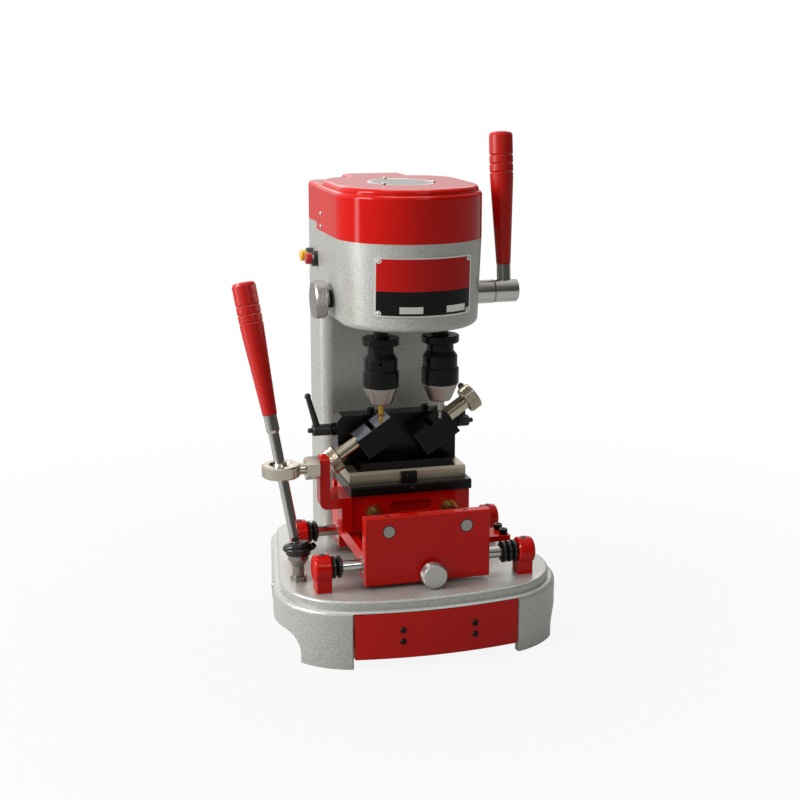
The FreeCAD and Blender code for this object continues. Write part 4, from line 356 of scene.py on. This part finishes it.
# Belt drive under the hood: a flat belt from the motor's pulley to the cutter spindle's.
# Nothing of it shows with the hood on. The belt is rubber, the pulleys and rotor turned steel.
rubber, tree, place = new_finish("moulded_black_rubber")
bloom_mm, pore_mm = 9, 0.5
bloom = node(tree, "TexNoise", {"Vector": (place, "Object"), "Scale": 1000 / bloom_mm, "Detail": 3.0})
pores = node(tree, "TexNoise", {"Vector": (place, "Object"), "Scale": 1000 / pore_mm, "Detail": 2.0})
shade = node(tree, "Mix", {"Factor": (bloom, 0), 6: linear("#080808"), 7: linear("#141413")},
             data_type="RGBA")
shine = node(tree, "MapRange", {"Value": (bloom, 0), "To Min": 0.22, "To Max": 0.36})
relief = node(tree, "Bump", {"Height": (pores, 0), "Strength": 0.08, "Distance": 0.05 * mm})
gum = node(tree, "BsdfPrincipled", {"Base Color": (shade, 2), "Roughness": (shine, 0), "IOR": 1.52,
                                    "Normal": (relief, 0)})
node(tree, "OutputMaterial", {"Surface": (gum, 0)})
dress(rubber, "drive_belt", "rubber_parts")
dress(bright_steel, "spindle_pulley", "motor_rotor", "quill_yoke", "x_bushings")


# Name plate: anodised aluminium bent to the head's bow and held by drive pins in its corners.
# A red field over a black one is screened on it, with a bare rim and two bare blanks for writing.
# The print is a thin lacquer, so it is glossy and the metal's brush lines show in the bare parts.
name_print, tree, place = new_finish("screened_aluminium_plate")
spot = node(tree, "SeparateXYZ", {"Vector": (place, "Object")})
plate_half, plate_low, plate_high, split = 50.0, 346.8, 406.3, 372.6
blank_xs, blank_zs = ((-27.5, -4.5), (20.5, 42.5)), (350.6, 357.4)
rim_width, pin_clear = 1.5, 2.6


def inside(value, low, high):
    """Node that is 1 where an axis lies between two places in mm."""
    middle = node(tree, "Math", {0: value, 1: (low + high) / 2 * mm, 2: (high - low) / 2 * mm},
                  operation="COMPARE")
    return middle, 0


across = inside((spot, "X"), -plate_half + rim_width, plate_half - rim_width)
upright = inside((spot, "Z"), plate_low + rim_width, plate_high - rim_width)
printed = node(tree, "Math", {0: across, 1: upright}, operation="MULTIPLY")
first, second = (inside((spot, "X"), *ends) for ends in blank_xs)
blanks = node(tree, "Math", {0: first, 1: second}, operation="ADD")
blanks = node(tree, "Math", {0: (blanks, 0), 1: inside((spot, "Z"), *blank_zs)}, operation="MULTIPLY")
printed = node(tree, "Math", {0: (printed, 0), 1: (blanks, 0)}, operation="SUBTRACT", use_clamp=True)
mirror = node(tree, "Math", {0: (spot, "X")}, operation="ABSOLUTE")
folded = node(tree, "CombineXYZ", {"X": (mirror, 0), "Z": (spot, "Z")})
for pin_z in pin_zs:
    away = node(tree, "VectorMath", {0: (folded, 0), 1: (pin_x * mm, 0, pin_z * mm)},
                operation="DISTANCE")
    clear = node(tree, "Math", {0: (away, "Value"), 1: pin_clear * mm}, operation="GREATER_THAN")
    printed = node(tree, "Math", {0: (printed, 0), 1: (clear, 0)}, operation="MULTIPLY")
upper = node(tree, "Math", {0: (spot, "Z"), 1: split * mm}, operation="GREATER_THAN")
brush_mm, length_mm = 0.25, 25
stretch = node(tree, "Mapping", {"Vector": (place, "Object"),
                                 "Scale": (1000 / length_mm, 1000 / length_mm, 1000 / brush_mm)})
brush = node(tree, "TexNoise", {"Vector": (stretch, 0), "Scale": 1.0, "Detail": 3.0})
metal = node(tree, "Mix", {"Factor": (brush, 0), 6: linear("#efeeea"), 7: linear("#d2d1cc")},
             data_type="RGBA")
ink = node(tree, "Mix", {"Factor": (upper, 0), 6: linear("#0a0707"), 7: linear("#b40e08")},
           data_type="RGBA")
face = node(tree, "Mix", {"Factor": (printed, 0), 6: (metal, 2), 7: (ink, 2)}, data_type="RGBA")
bare = node(tree, "Math", {0: 1.0, 1: (printed, 0)}, operation="SUBTRACT")
shine = node(tree, "MapRange", {"Value": (printed, 0), "To Min": 0.34, "To Max": 0.16})
plate = node(tree, "BsdfPrincipled", {"Base Color": (face, 2), "Metallic": (bare, 0),
                                      "Roughness": (shine, 0), "Specular IOR Level": 0.2})
node(tree, "OutputMaterial", {"Surface": (plate, 0)})
dress(name_print, "name_plate")


# Stop and start buttons: moulded caps in black ringed bezels on the column's left side.
# ABS, polished in the mould, so they are glossy; the stop cap is red and the start cap yellow.
for cap, shade in (("stop_button", "#b3140f"), ("start_button", "#e9b31c")):
    abs_cap, tree, place = new_finish("polished_abs_" + cap)
    ripple_mm = 4
    ripple = node(tree, "TexNoise", {"Vector": (place, "Object"), "Scale": 1000 / ripple_mm,
                                     "Detail": 1.0})
    shine = node(tree, "MapRange", {"Value": (ripple, 0), "To Min": 0.16, "To Max": 0.3})
    plastic = node(tree, "BsdfPrincipled", {"Base Color": linear(shade), "Roughness": (shine, 0),
                                            "IOR": 1.54, "Subsurface Weight": 0.04,
                                            "Subsurface Scale": 1.5 * mm})
    node(tree, "OutputMaterial", {"Surface": (plastic, 0)})
    dress(abs_cap, cap)


# Quills and spindles: hardened steel turned and ground about upright axes. Each spindle ends in
# the chuck's bare conical nose. Turning leaves rings round the axis that streak the highlights.
def turned_metal(name, shade, dark, roughness, at, toward, groove_mm=0.55):
    """Lathe turned metal: fine rings along and across an axis through a point in mm."""
    material, tree, place = new_finish(name)
    smear_mm = 12
    centre = tuple(v * mm for v in at)
    arm = node(tree, "VectorMath", {0: (place, "Object"), 1: centre}, operation="SUBTRACT")
    way = tuple(Vector(toward).normalized())
    along = node(tree, "VectorMath", {0: (arm, 0), 1: way}, operation="DOT_PRODUCT")
    square = node(tree, "VectorMath", {0: (arm, 0), 1: way}, operation="CROSS_PRODUCT")
    radial = node(tree, "VectorMath", {0: (square, 0)}, operation="LENGTH")
    feed = node(tree, "Math", {0: (along, "Value"), 1: (radial, "Value")}, operation="ADD")
    rings = node(tree, "TexNoise", {"W": (feed, 0), "Scale": 1000 / groove_mm, "Detail": 2.0},
                 noise_dimensions="1D")
    smear = node(tree, "TexNoise", {"Vector": (place, "Object"), "Scale": 1000 / smear_mm,
                                    "Detail": 3.0})
    tint = node(tree, "Mix", {"Factor": (rings, 0), 6: linear(shade), 7: linear(dark)}, data_type="RGBA")
    shine = node(tree, "MapRange", {"Value": (smear, 0), "To Min": roughness * 0.75,
                                    "To Max": roughness * 1.35})
    relief = node(tree, "Bump", {"Height": (rings, 0), "Strength": 0.25, "Distance": 0.03 * mm})
    metal = node(tree, "BsdfPrincipled", {"Base Color": (tint, 2), "Metallic": 1.0,
                                          "Roughness": (shine, 0), "Normal": (relief, 0)})
    node(tree, "OutputMaterial", {"Surface": (metal, 0)})
    return material


left_axis, right_axis, up = (-32, 0, 250), (32, 0, 250), (0, 0, 1)
left_steel = turned_metal("turned_steel_cutter_axis", "#b3aea7", "#85817b", 0.28, left_axis, up)
dress(left_steel, "cutter_spindle", "quills")
right_steel = turned_metal("turned_steel_tracer_axis", "#b3aea7", "#85817b", 0.28, right_axis, up)
dress(right_steel, "tracer_spindle", "tracer")

# Chucks: keyed drill chucks with black oxide sleeves, one on each spindle. A short black sleeve
# round each shaft between the chuck's collar and the quill is a dark part standing in for the shaft's
# dark reflection there.
dress(black_oxide, "cutter_chuck", "tracer_chuck")
dark_sleeve_rings = [(0, 7.05), (0, 9.2), (1.2, 9.2), (1.8, 8.2), (12.9, 8.2), (12.9, 7.05)]
dark_sleeve_z = 317.6
for name, axis_at, body in (("cutter_dark_sleeve", left_axis, "cutter_spindle"),
                            ("tracer_dark_sleeve", right_axis, "quill")):
    mesh = bmesh.new()
    spin(mesh, dark_sleeve_rings, (axis_at[0], axis_at[1], dark_sleeve_z), up, hollow=True)
    piece(name, mesh, black_oxide, body)

# Cutter: a high speed steel end mill with a titanium nitride coat, which is a warm gold.
gold_coat = turned_metal("titanium_nitride_coat", "#c79a3e", "#8f6a24", 0.24, left_axis, up,
                         groove_mm=0.8)
dress(gold_coat, "cutter")


# Feed lever: a chromed hub and neck on the pinion shaft, in a chromed boss on the head's right.
# Polished chrome plate mirrors the room almost clean, with a faint ripple from the polishing mop.
chrome, tree, place = new_finish("polished_chrome_plate")
mop_mm = 14
mop = node(tree, "TexNoise", {"Vector": (place, "Object"), "Scale": 1000 / mop_mm, "Detail": 2.0})
shine = node(tree, "MapRange", {"Value": (mop, 0), "To Min": 0.05, "To Max": 0.13})
relief = node(tree, "Bump", {"Height": (mop, 0), "Strength": 0.05, "Distance": 0.1 * mm})
plate = node(tree, "BsdfPrincipled", {"Base Color": linear("#c6c4bf"), "Metallic": 1.0,
                                      "Roughness": (shine, 0), "Normal": (relief, 0)})
node(tree, "OutputMaterial", {"Surface": (plate, 0)})
dress(chrome, "feed_shaft", "feed_boss")

# Grips: red moulded handles, tapered, with turned rings near the round end. Cellulose acetate,
# buffed, so it is glossy and a little translucent, with faint flow lines along the moulding.
red_grip, tree, place = new_finish("moulded_red_acetate")
flow_mm = 5
flow = node(tree, "TexNoise", {"Vector": (place, "Object"), "Scale": 1000 / flow_mm, "Detail": 3.0})
tint = node(tree, "Mix", {"Factor": (flow, 0), 6: linear("#c4150b"), 7: linear("#aa0e06")},
            data_type="RGBA")
shine = node(tree, "MapRange", {"Value": (flow, 0), "To Min": 0.2, "To Max": 0.34})
relief = node(tree, "Bump", {"Height": (flow, 0), "Strength": 0.05, "Distance": 0.1 * mm})
acetate = node(tree, "BsdfPrincipled", {"Base Color": (tint, 2), "Roughness": (shine, 0), "IOR": 1.48,
                                        "Subsurface Weight": 0.03, "Subsurface Scale": 2 * mm,
                                        "Normal": (relief, 0)})
node(tree, "OutputMaterial", {"Surface": (acetate, 0)})
dress(red_grip, "feed_grip", "lever_grip")


# Quill lock: a knurled steel knob on a stud through a black bush in the head's left side.
# The rim is diamond knurled, drawn at 2 mm because a real 1.2 mm knurl is finer than a pixel.
def knurl(mesh, at, toward, start, length, radius, pitch=2.0, depth=0.5):
    """Band of diamond points round an axis, between two places along it in mm."""
    axis = Vector(toward).normalized()
    side = axis.orthogonal().normalized()
    other = axis.cross(side)
    columns = 2 * round(2 * math.pi * radius / pitch)
    rows = 2 * round(length / pitch)
    grid = []
    for j in range(rows + 1):
        line = []
        for i in range(columns):
            turn = 2 * math.pi * i / columns
            peak = depth if (i + j) % 2 and 0 < j < rows else 0
            out = (side * math.cos(turn) + other * math.sin(turn)) * (radius + peak)
            line.append(mesh.verts.new((Vector(at) + axis * (start + length * j / rows) + out) * mm))
        grid.append(line)
    for j in range(rows):
        for i in range(columns):
            k = (i + 1) % columns
            corners = [grid[j][i], grid[j][k], grid[j + 1][k], grid[j + 1][i]]
            if (i + j) % 2:
                corners = corners[1:] + corners[:1]
            mesh.faces.new((corners[0], corners[1], corners[2]))
            mesh.faces.new((corners[0], corners[2], corners[3]))


lock_at, lock_way = (-93, 46, 352), (1, 0, 0)
lock_steel = turned_metal("turned_steel_quill_lock", "#c6c3be", "#a19e99", 0.3, lock_at, lock_way)
dress(lock_steel, "quill_lock_knob")
dress(black_oxide, "lock_bush")
mesh = bmesh.new()
knurl(mesh, lock_at, lock_way, 1.6, 10.0, 19.72)
piece("quill_lock_knurl", mesh, lock_steel, "quill_lock", smooth_to=1)


# Cross slide rods: hard chromed ground bars in red enamelled iron pedestals bolted to the deck.
# Ribbed rubber bumpers on the rods stop the carriage, and a set screw in each top holds the rod.
dress(red_enamel, "pedestals")
pedestal_xs, pedestal_top, x_rod_ys, x_rod_z = (-108, 108), 107, (-54, 63), 93
ground_chrome = turned_metal("ground_hard_chrome_across", "#cfcecb", "#b4b3b0", 0.12,
                             (0, x_rod_ys[0], x_rod_z), (1, 0, 0), groove_mm=0.35)
dress(ground_chrome, "x_rods")
set_screw = [(-0.6, 3.1), (0.2, 3.1), (0.35, 2.9), (0.35, 1.7, 6), (0.05, 1.7, 6)]
screws = bmesh.new()
for x in pedestal_xs:
    for y in x_rod_ys:
        spin(screws, set_screw, (x, y, pedestal_top), up, steps=36)
piece("pedestal_set_screws", screws, black_oxide, "frame")


# Lower carriage: a milled iron frame on the X rods, enamelled red, with a thick front plate.
# The ends of the two Y rods show in that plate, and a knurled knob at its foot locks the slide.
dress(red_enamel, "lower_carriage")
y_rod_xs, y_rod_z, plate_front = (-41.2, 41.2), 129.7, -67.05
rod_chrome = turned_metal("ground_hard_chrome_along", "#a3a19c", "#8a8883", 0.24, (0, 0, y_rod_z),
                          (0, 1, 0), groove_mm=0.35)
dress(rod_chrome, "y_rods")
# Painted shadow: a thin black ring round each Y rod's end, just proud of the front plate, darkens the
# gap round the rod's bore.
shadow_gap_ring = [(-0.2, 7.0), (0.12, 6.9), (0.16, 6.5), (0.12, 6.1), (-0.2, 6.05)]
shadow_gap_rings = bmesh.new()
for x in y_rod_xs:
    spin(shadow_gap_rings, shadow_gap_ring, (x, plate_front, y_rod_z), (0, -1, 0), hollow=True)
piece("y_rod_shadow_gaps", shadow_gap_rings, black_oxide, "x_carriage")
knob_at, knob_way = (3.5, -83.05, 82.5), (0, 1, 0)
knob_steel = turned_metal("turned_steel_slide_lock", "#c9c7c2", "#aaa8a3", 0.3, knob_at, knob_way)
dress(knob_steel, "carriage_lock_knob")
mesh = bmesh.new()
knurl(mesh, knob_at, knob_way, 1.3, 10.4, 13.02, pitch=1.8, depth=0.4)
piece("slide_lock_knurl", mesh, knob_steel, "carriage_lock", smooth_to=1)

# Socket screws of the carriage: black cap heads on the right flange, and set screws over the
# Y rods' ends. Oiled black oxide, with a hexagon socket in each.
cap_head = [(-6, 2.2), (0, 2.2), (0, 4.2), (0.3, 4.5), (5.4, 4.5), (6, 4.0), (6, 2.6, 6), (2.8, 2.6, 6)]
grub_screw = [(0, 2.4), (8.4, 2.4), (8.9, 2.0), (8.9, 1.35, 6), (6.5, 1.35, 6)]
flange_x, flange_ys, flange_top = 94.5, (-12, -29), 103.5
grub_y, grub_z = -61.55, 135.8
screws = bmesh.new()
for y in flange_ys:
    spin(screws, cap_head, (flange_x, y, flange_top), up)
for x in y_rod_xs:
    spin(screws, grub_screw, (x, grub_y, grub_z), up, steps=36)
cap_screws = piece("carriage_socket_screws", screws, black_oxide, "x_carriage")
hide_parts("carriage_screws")


# Upper carriage: a red enamelled block that runs front to back on the Y rods in brass bushings.
# It carries a black cross plate, a ground steel table and the black carrier of the vises.
dress(red_enamel, "upper_carriage", "lever_bracket")
brass = turned_metal("turned_brass", "#e0b765", "#b08a48", 0.28, (0, 0, y_rod_z), (0, 1, 0),
                     groove_mm=0.6)
dress(brass, "brass_bushings")
dress(black_oxide, "cross_plate", "vise_carrier")

# Small socket screws in the cross plate's front edge and in the clip that holds the table.
edge_at, clip_proud, clip_z = (1.5, -6, 155), 5, 165.5
clip_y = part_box("steel_table")[0][1] / mm - clip_proud
screws = bmesh.new()
spin(screws, button_head(2.4, 1.2), edge_at, (0, -1, 0), steps=36)
spin(screws, button_head(2.6, 1.3), (0, clip_y, clip_z), (0, -1, 0), steps=36)
piece("cross_plate_screws", screws, black_oxide, "y_carriage")

# Ground tool steel: pale metal with straight scratches from the grinding wheel along X.
ground_steel, tree, place = new_finish("surface_ground_steel")
scratch_mm, run_mm, blot_mm = 0.5, 40, 15
lay = node(tree, "Mapping", {"Vector": (place, "Object"),
                             "Scale": (1000 / run_mm, 1000 / scratch_mm, 1000 / scratch_mm)})
scratch = node(tree, "TexNoise", {"Vector": (lay, 0), "Scale": 1.0, "Detail": 3.0})
blot = node(tree, "TexNoise", {"Vector": (place, "Object"), "Scale": 1000 / blot_mm, "Detail": 3.0})
edge = edge_wear_and_highlight(tree, 0.4)
tint = node(tree, "Mix", {"Factor": (scratch, 0), 6: linear("#d2c7b2"), 7: linear("#a89d88")},
            data_type="RGBA")
# Painted highlight: the table's edges are lightened towards #e2ded6.
tint = node(tree, "Mix", {"Factor": (edge, 0), 6: (tint, 2), 7: linear("#e2ded6")}, data_type="RGBA")
shine = node(tree, "MapRange", {"Value": (blot, 0), "To Min": 0.38, "To Max": 0.55})
relief = node(tree, "Bump", {"Height": (scratch, 0), "Strength": 0.2, "Distance": 0.04 * mm})
steel = node(tree, "BsdfPrincipled", {"Base Color": (tint, 2), "Metallic": 0.85,
                                      "Roughness": (shine, 0), "Normal": (relief, 0)})
node(tree, "OutputMaterial", {"Surface": (steel, 0)})
dress(ground_steel, "steel_table")


# Vises: two black channel bodies on pivots in the carrier, each with a fixed and a moving jaw,
# and a clamp screw with a knurled nickel knob. The left jaws are bare hardened steel, which is a
# cool grey with cross cut marks, and the right ones are blacked.
lean = math.radians(34)
screw_way = (math.cos(lean), 0, math.sin(lean))
jaw_steel, tree, place = new_finish("hardened_jaw_steel")
tooth_mm, cut_mm, heat_mm = 0.9, 30, 9
lay = node(tree, "Mapping", {"Vector": (place, "Object"), "Rotation": (0, -lean, 0),
                             "Scale": (1000 / tooth_mm, 1000 / cut_mm, 1000 / tooth_mm)})
teeth = node(tree, "TexNoise", {"Vector": (lay, 0), "Scale": 1.0, "Detail": 2.0})
heat = node(tree, "TexNoise", {"Vector": (place, "Object"), "Scale": 1000 / heat_mm, "Detail": 3.0})
edge = edge_wear_and_highlight(tree, 0.4)
tint = node(tree, "Mix", {"Factor": (teeth, 0), 6: linear("#b4b5bf"), 7: linear("#70717a")},
            data_type="RGBA")
# Painted highlight: the jaws' edges are lightened towards #d9dae0.
tint = node(tree, "Mix", {"Factor": (edge, 0), 6: (tint, 2), 7: linear("#d9dae0")}, data_type="RGBA")
shine = node(tree, "MapRange", {"Value": (heat, 0), "To Min": 0.26, "To Max": 0.44})
relief = node(tree, "Bump", {"Height": (teeth, 0), "Strength": 0.25, "Distance": 0.08 * mm})
hard = node(tree, "BsdfPrincipled", {"Base Color": (tint, 2), "Metallic": 0.9, "Roughness": (shine, 0),
                                     "Normal": (relief, 0)})
node(tree, "OutputMaterial", {"Surface": (hard, 0)})

# The two sides are alike and lean apart. A moulded nylon lever at each end of the carrier clamps
# its vise at the set tilt.
for side, sign, axis_at in (("left", -1, (-33.789, 26, 212.153)),
                            ("right", 1, (30.211, 26, 212.153))):
    dress(black_oxide, side + "_vise_body")
    dress(jaw_steel if side == "left" else black_oxide, side + "_fixed_jaw", side + "_moving_jaw")
    outward = tuple(sign * v for v in screw_way)
    nickel = turned_metal("turned_nickel_" + side, "#d6cbb6", "#a99d86", 0.2, axis_at, outward)
    dress(nickel, side + "_clamp_screw")
    mesh = bmesh.new()
    knurl(mesh, axis_at, outward, 46.3, 11.4, 13.82, pitch=1.9, depth=0.4)
    piece(side + "_clamp_knurl", mesh, nickel, side + "_screw", smooth_to=1)
    dress(black_nylon, side + "_clamp_lever")


# Joystick: a chromed rod through a rod end on the red bracket, so its grip drives both slides.
# It leans on a ball in a turned steel socket on the deck, and a thick rubber bead on the rod
# rolls on the boot over the socket's rim.
dress(chrome, "lever_rod")
dress(black_oxide, "lever_ball")
socket_at, eye_at, pivot_at = (-125.5, -18, 69), Vector((-138, 2, 183)), Vector((-125.5, -18, 97))
socket_steel = turned_metal("turned_steel_lever_socket", "#a8a49e", "#7f7b76", 0.3, socket_at, up)
dress(socket_steel, "lever_socket")
eye_nickel = turned_metal("satin_nickel_rod_end", "#d3cabd", "#b8afa1", 0.2, eye_at, up)
dress(eye_nickel, "rod_end")
rod_way = (eye_at - pivot_at).normalized()

# Ball of the rod end: a bored nickel plated ball that stays on the rod and tilts in the eye.
ball = [(-7, 5.6), (-7, 6.7), (-5, 7.6), (0, 8.2), (5, 7.6), (7, 6.7), (7, 5.6)]
mesh = bmesh.new()
spin(mesh, ball, eye_at, rod_way, hollow=True)
piece("rod_end_ball", mesh, eye_nickel, "joystick", smooth_to=60)

# Bead and clamp screw of the boot: moulded rubber, and a small blacked cap screw in its collar.
bead_radius, bead_ring, bead_rise, bead_steps = 4.1, 10.5, 8.6, 24
bead = []
for k in range(bead_steps):
    turn = 2 * math.pi * k / bead_steps
    bead.append((bead_rise + bead_radius * math.sin(turn), bead_ring + bead_radius * math.cos(turn)))
mesh = bmesh.new()
spin(mesh, bead, pivot_at, rod_way, hollow=True)
piece("lever_boot_bead", mesh, rubber, "joystick", smooth_to=60)
clamp_head = [(d * 0.8, r * 0.8, *s) for d, r, *s in cap_head]
clamp_at, clamp_way = (-112.6, -23, 105.2), (0.5, -0.45, 0.74)
screws = bmesh.new()
spin(screws, clamp_head, clamp_at, clamp_way, steps=36)
piece("boot_clamp_screw", screws, black_oxide, "frame")


# Studio: a pale plain floor that keeps the machine's soft shadow, under large soft boxes.
# Floor and room are white to the camera; the room is bright above, behind and to the left, and
# dim in front, so bright metal has something dark to mirror.
floor_mesh = bmesh.new()
bmesh.ops.create_circle(floor_mesh, cap_ends=True, segments=96, radius=9)
floor_data = bpy.data.meshes.new("studio_floor")
floor_mesh.to_mesh(floor_data)
floor_mesh.free()
floor = bpy.data.objects.new("studio_floor", floor_data)
bpy.context.scene.collection.objects.link(floor)
paper, tree, place = new_finish("pale_paper_floor")
ray = node(tree, "LightPath")
reach = node(tree, "VectorMath", {0: (place, "Object")}, operation="LENGTH")
fade = node(tree, "MapRange", {"Value": (reach, "Value"), "From Min": 0.25, "From Max": 0.9,
                               "To Min": 0.9, "To Max": 1.0})
seen = node(tree, "Math", {0: (ray, "Is Camera Ray"), 1: (ray, "Is Transmission Ray")},
            operation="MAXIMUM")
seen = node(tree, "Math", {0: (seen, 0), 1: (fade, 0)}, operation="MULTIPLY")
mirrored = node(tree, "Math", {0: (ray, "Is Glossy Ray"), 1: 0.25}, operation="MULTIPLY")
share = node(tree, "Math", {0: (seen, 0), 1: (mirrored, 0)}, operation="MAXIMUM")
matt = node(tree, "BsdfDiffuse", {"Color": linear("#a2a2a0")})
glow = node(tree, "Emission", {"Color": linear("#ffffff"), "Strength": 1.0})
both = node(tree, "MixShader", {0: (share, 0), 1: (matt, 0), 2: (glow, 0)})
node(tree, "OutputMaterial", {"Surface": (both, 0)})
floor_data.materials.append(paper)

world = bpy.data.worlds.new("studio_room")
bpy.context.scene.world = world
world.use_nodes = True
tree = world.node_tree
tree.nodes.clear()
ray = node(tree, "LightPath")
facing = node(tree, "TexCoord")
lit_from = tuple(Vector((-0.6, 0.5, 0.6)).normalized())
toward = node(tree, "VectorMath", {0: (facing, "Generated"), 1: lit_from}, operation="DOT_PRODUCT")
bright = node(tree, "MapRange", {"Value": (toward, "Value"), "From Min": -0.4, "From Max": 0.8},
              interpolation_type="SMOOTHSTEP")
room = node(tree, "Mix", {"Factor": (bright, 0), 6: linear("#34322e"), 7: linear("#efefef")},
            data_type="RGBA")
seen = node(tree, "Math", {0: (ray, "Is Camera Ray"), 1: (ray, "Is Transmission Ray")},
            operation="MAXIMUM")
mirrored = node(tree, "Math", {0: (ray, "Is Glossy Ray"), 1: 0.06}, operation="MULTIPLY")
seen = node(tree, "Math", {0: (seen, 0), 1: (mirrored, 0)}, operation="MAXIMUM")
white = node(tree, "Mix", {"Factor": (seen, 0), 6: (room, 2), 7: linear("#ffffff")}, data_type="RGBA")
backing = node(tree, "Background", {"Color": (white, 2), "Strength": 1.0})
node(tree, "OutputWorld", {"Surface": (backing, 0)})


def soft_box(name, at, width, height, watts):
    """Area lamp in metres that faces the middle of the machine and isn't seen itself."""
    data = bpy.data.lights.new(name, "AREA")
    data.shape = "RECTANGLE"
    data.size = width
    data.size_y = height
    data.energy = watts
    lamp = bpy.data.objects.new(name, data)
    lamp.location = at
    lamp.rotation_euler = (Vector((0, 0, 0.25)) - Vector(at)).to_track_quat("-Z", "Y").to_euler()
    lamp.visible_camera = False
    bpy.context.scene.collection.objects.link(lamp)


soft_box("key_box", (-1.7, -0.15, 1.1), 0.7, 0.7, 24)
soft_box("top_box", (0.1, 0.4, 1.95), 0.9, 0.6, 12)
soft_box("back_box", (0.6, 2.4, 1.4), 2.4, 0.7, 10)
soft_box("front_box", (0.3, -1.7, 1.4), 0.6, 0.6, 4)
soft_box("left_strip", (-1.45, 0.2, 0.6), 0.2, 1.2, 5)

# Camera: where the photographer stood, a little above the machine and to its left.
lens = bpy.data.cameras.new("front_camera")
lens.sensor_width = 36
lens.lens = 64.68
camera = bpy.data.objects.new("front_camera", lens)
camera.location = (-0.3981, -1.4045, 0.5938)
sight = Vector((-0.01143, 0, 0.24985)) - camera.location
camera.rotation_euler = sight.to_track_quat("-Z", "Y").to_euler()
bpy.context.scene.collection.objects.link(camera)
bpy.context.scene.camera = camera
bpy.context.scene.view_settings.view_transform = "Standard"
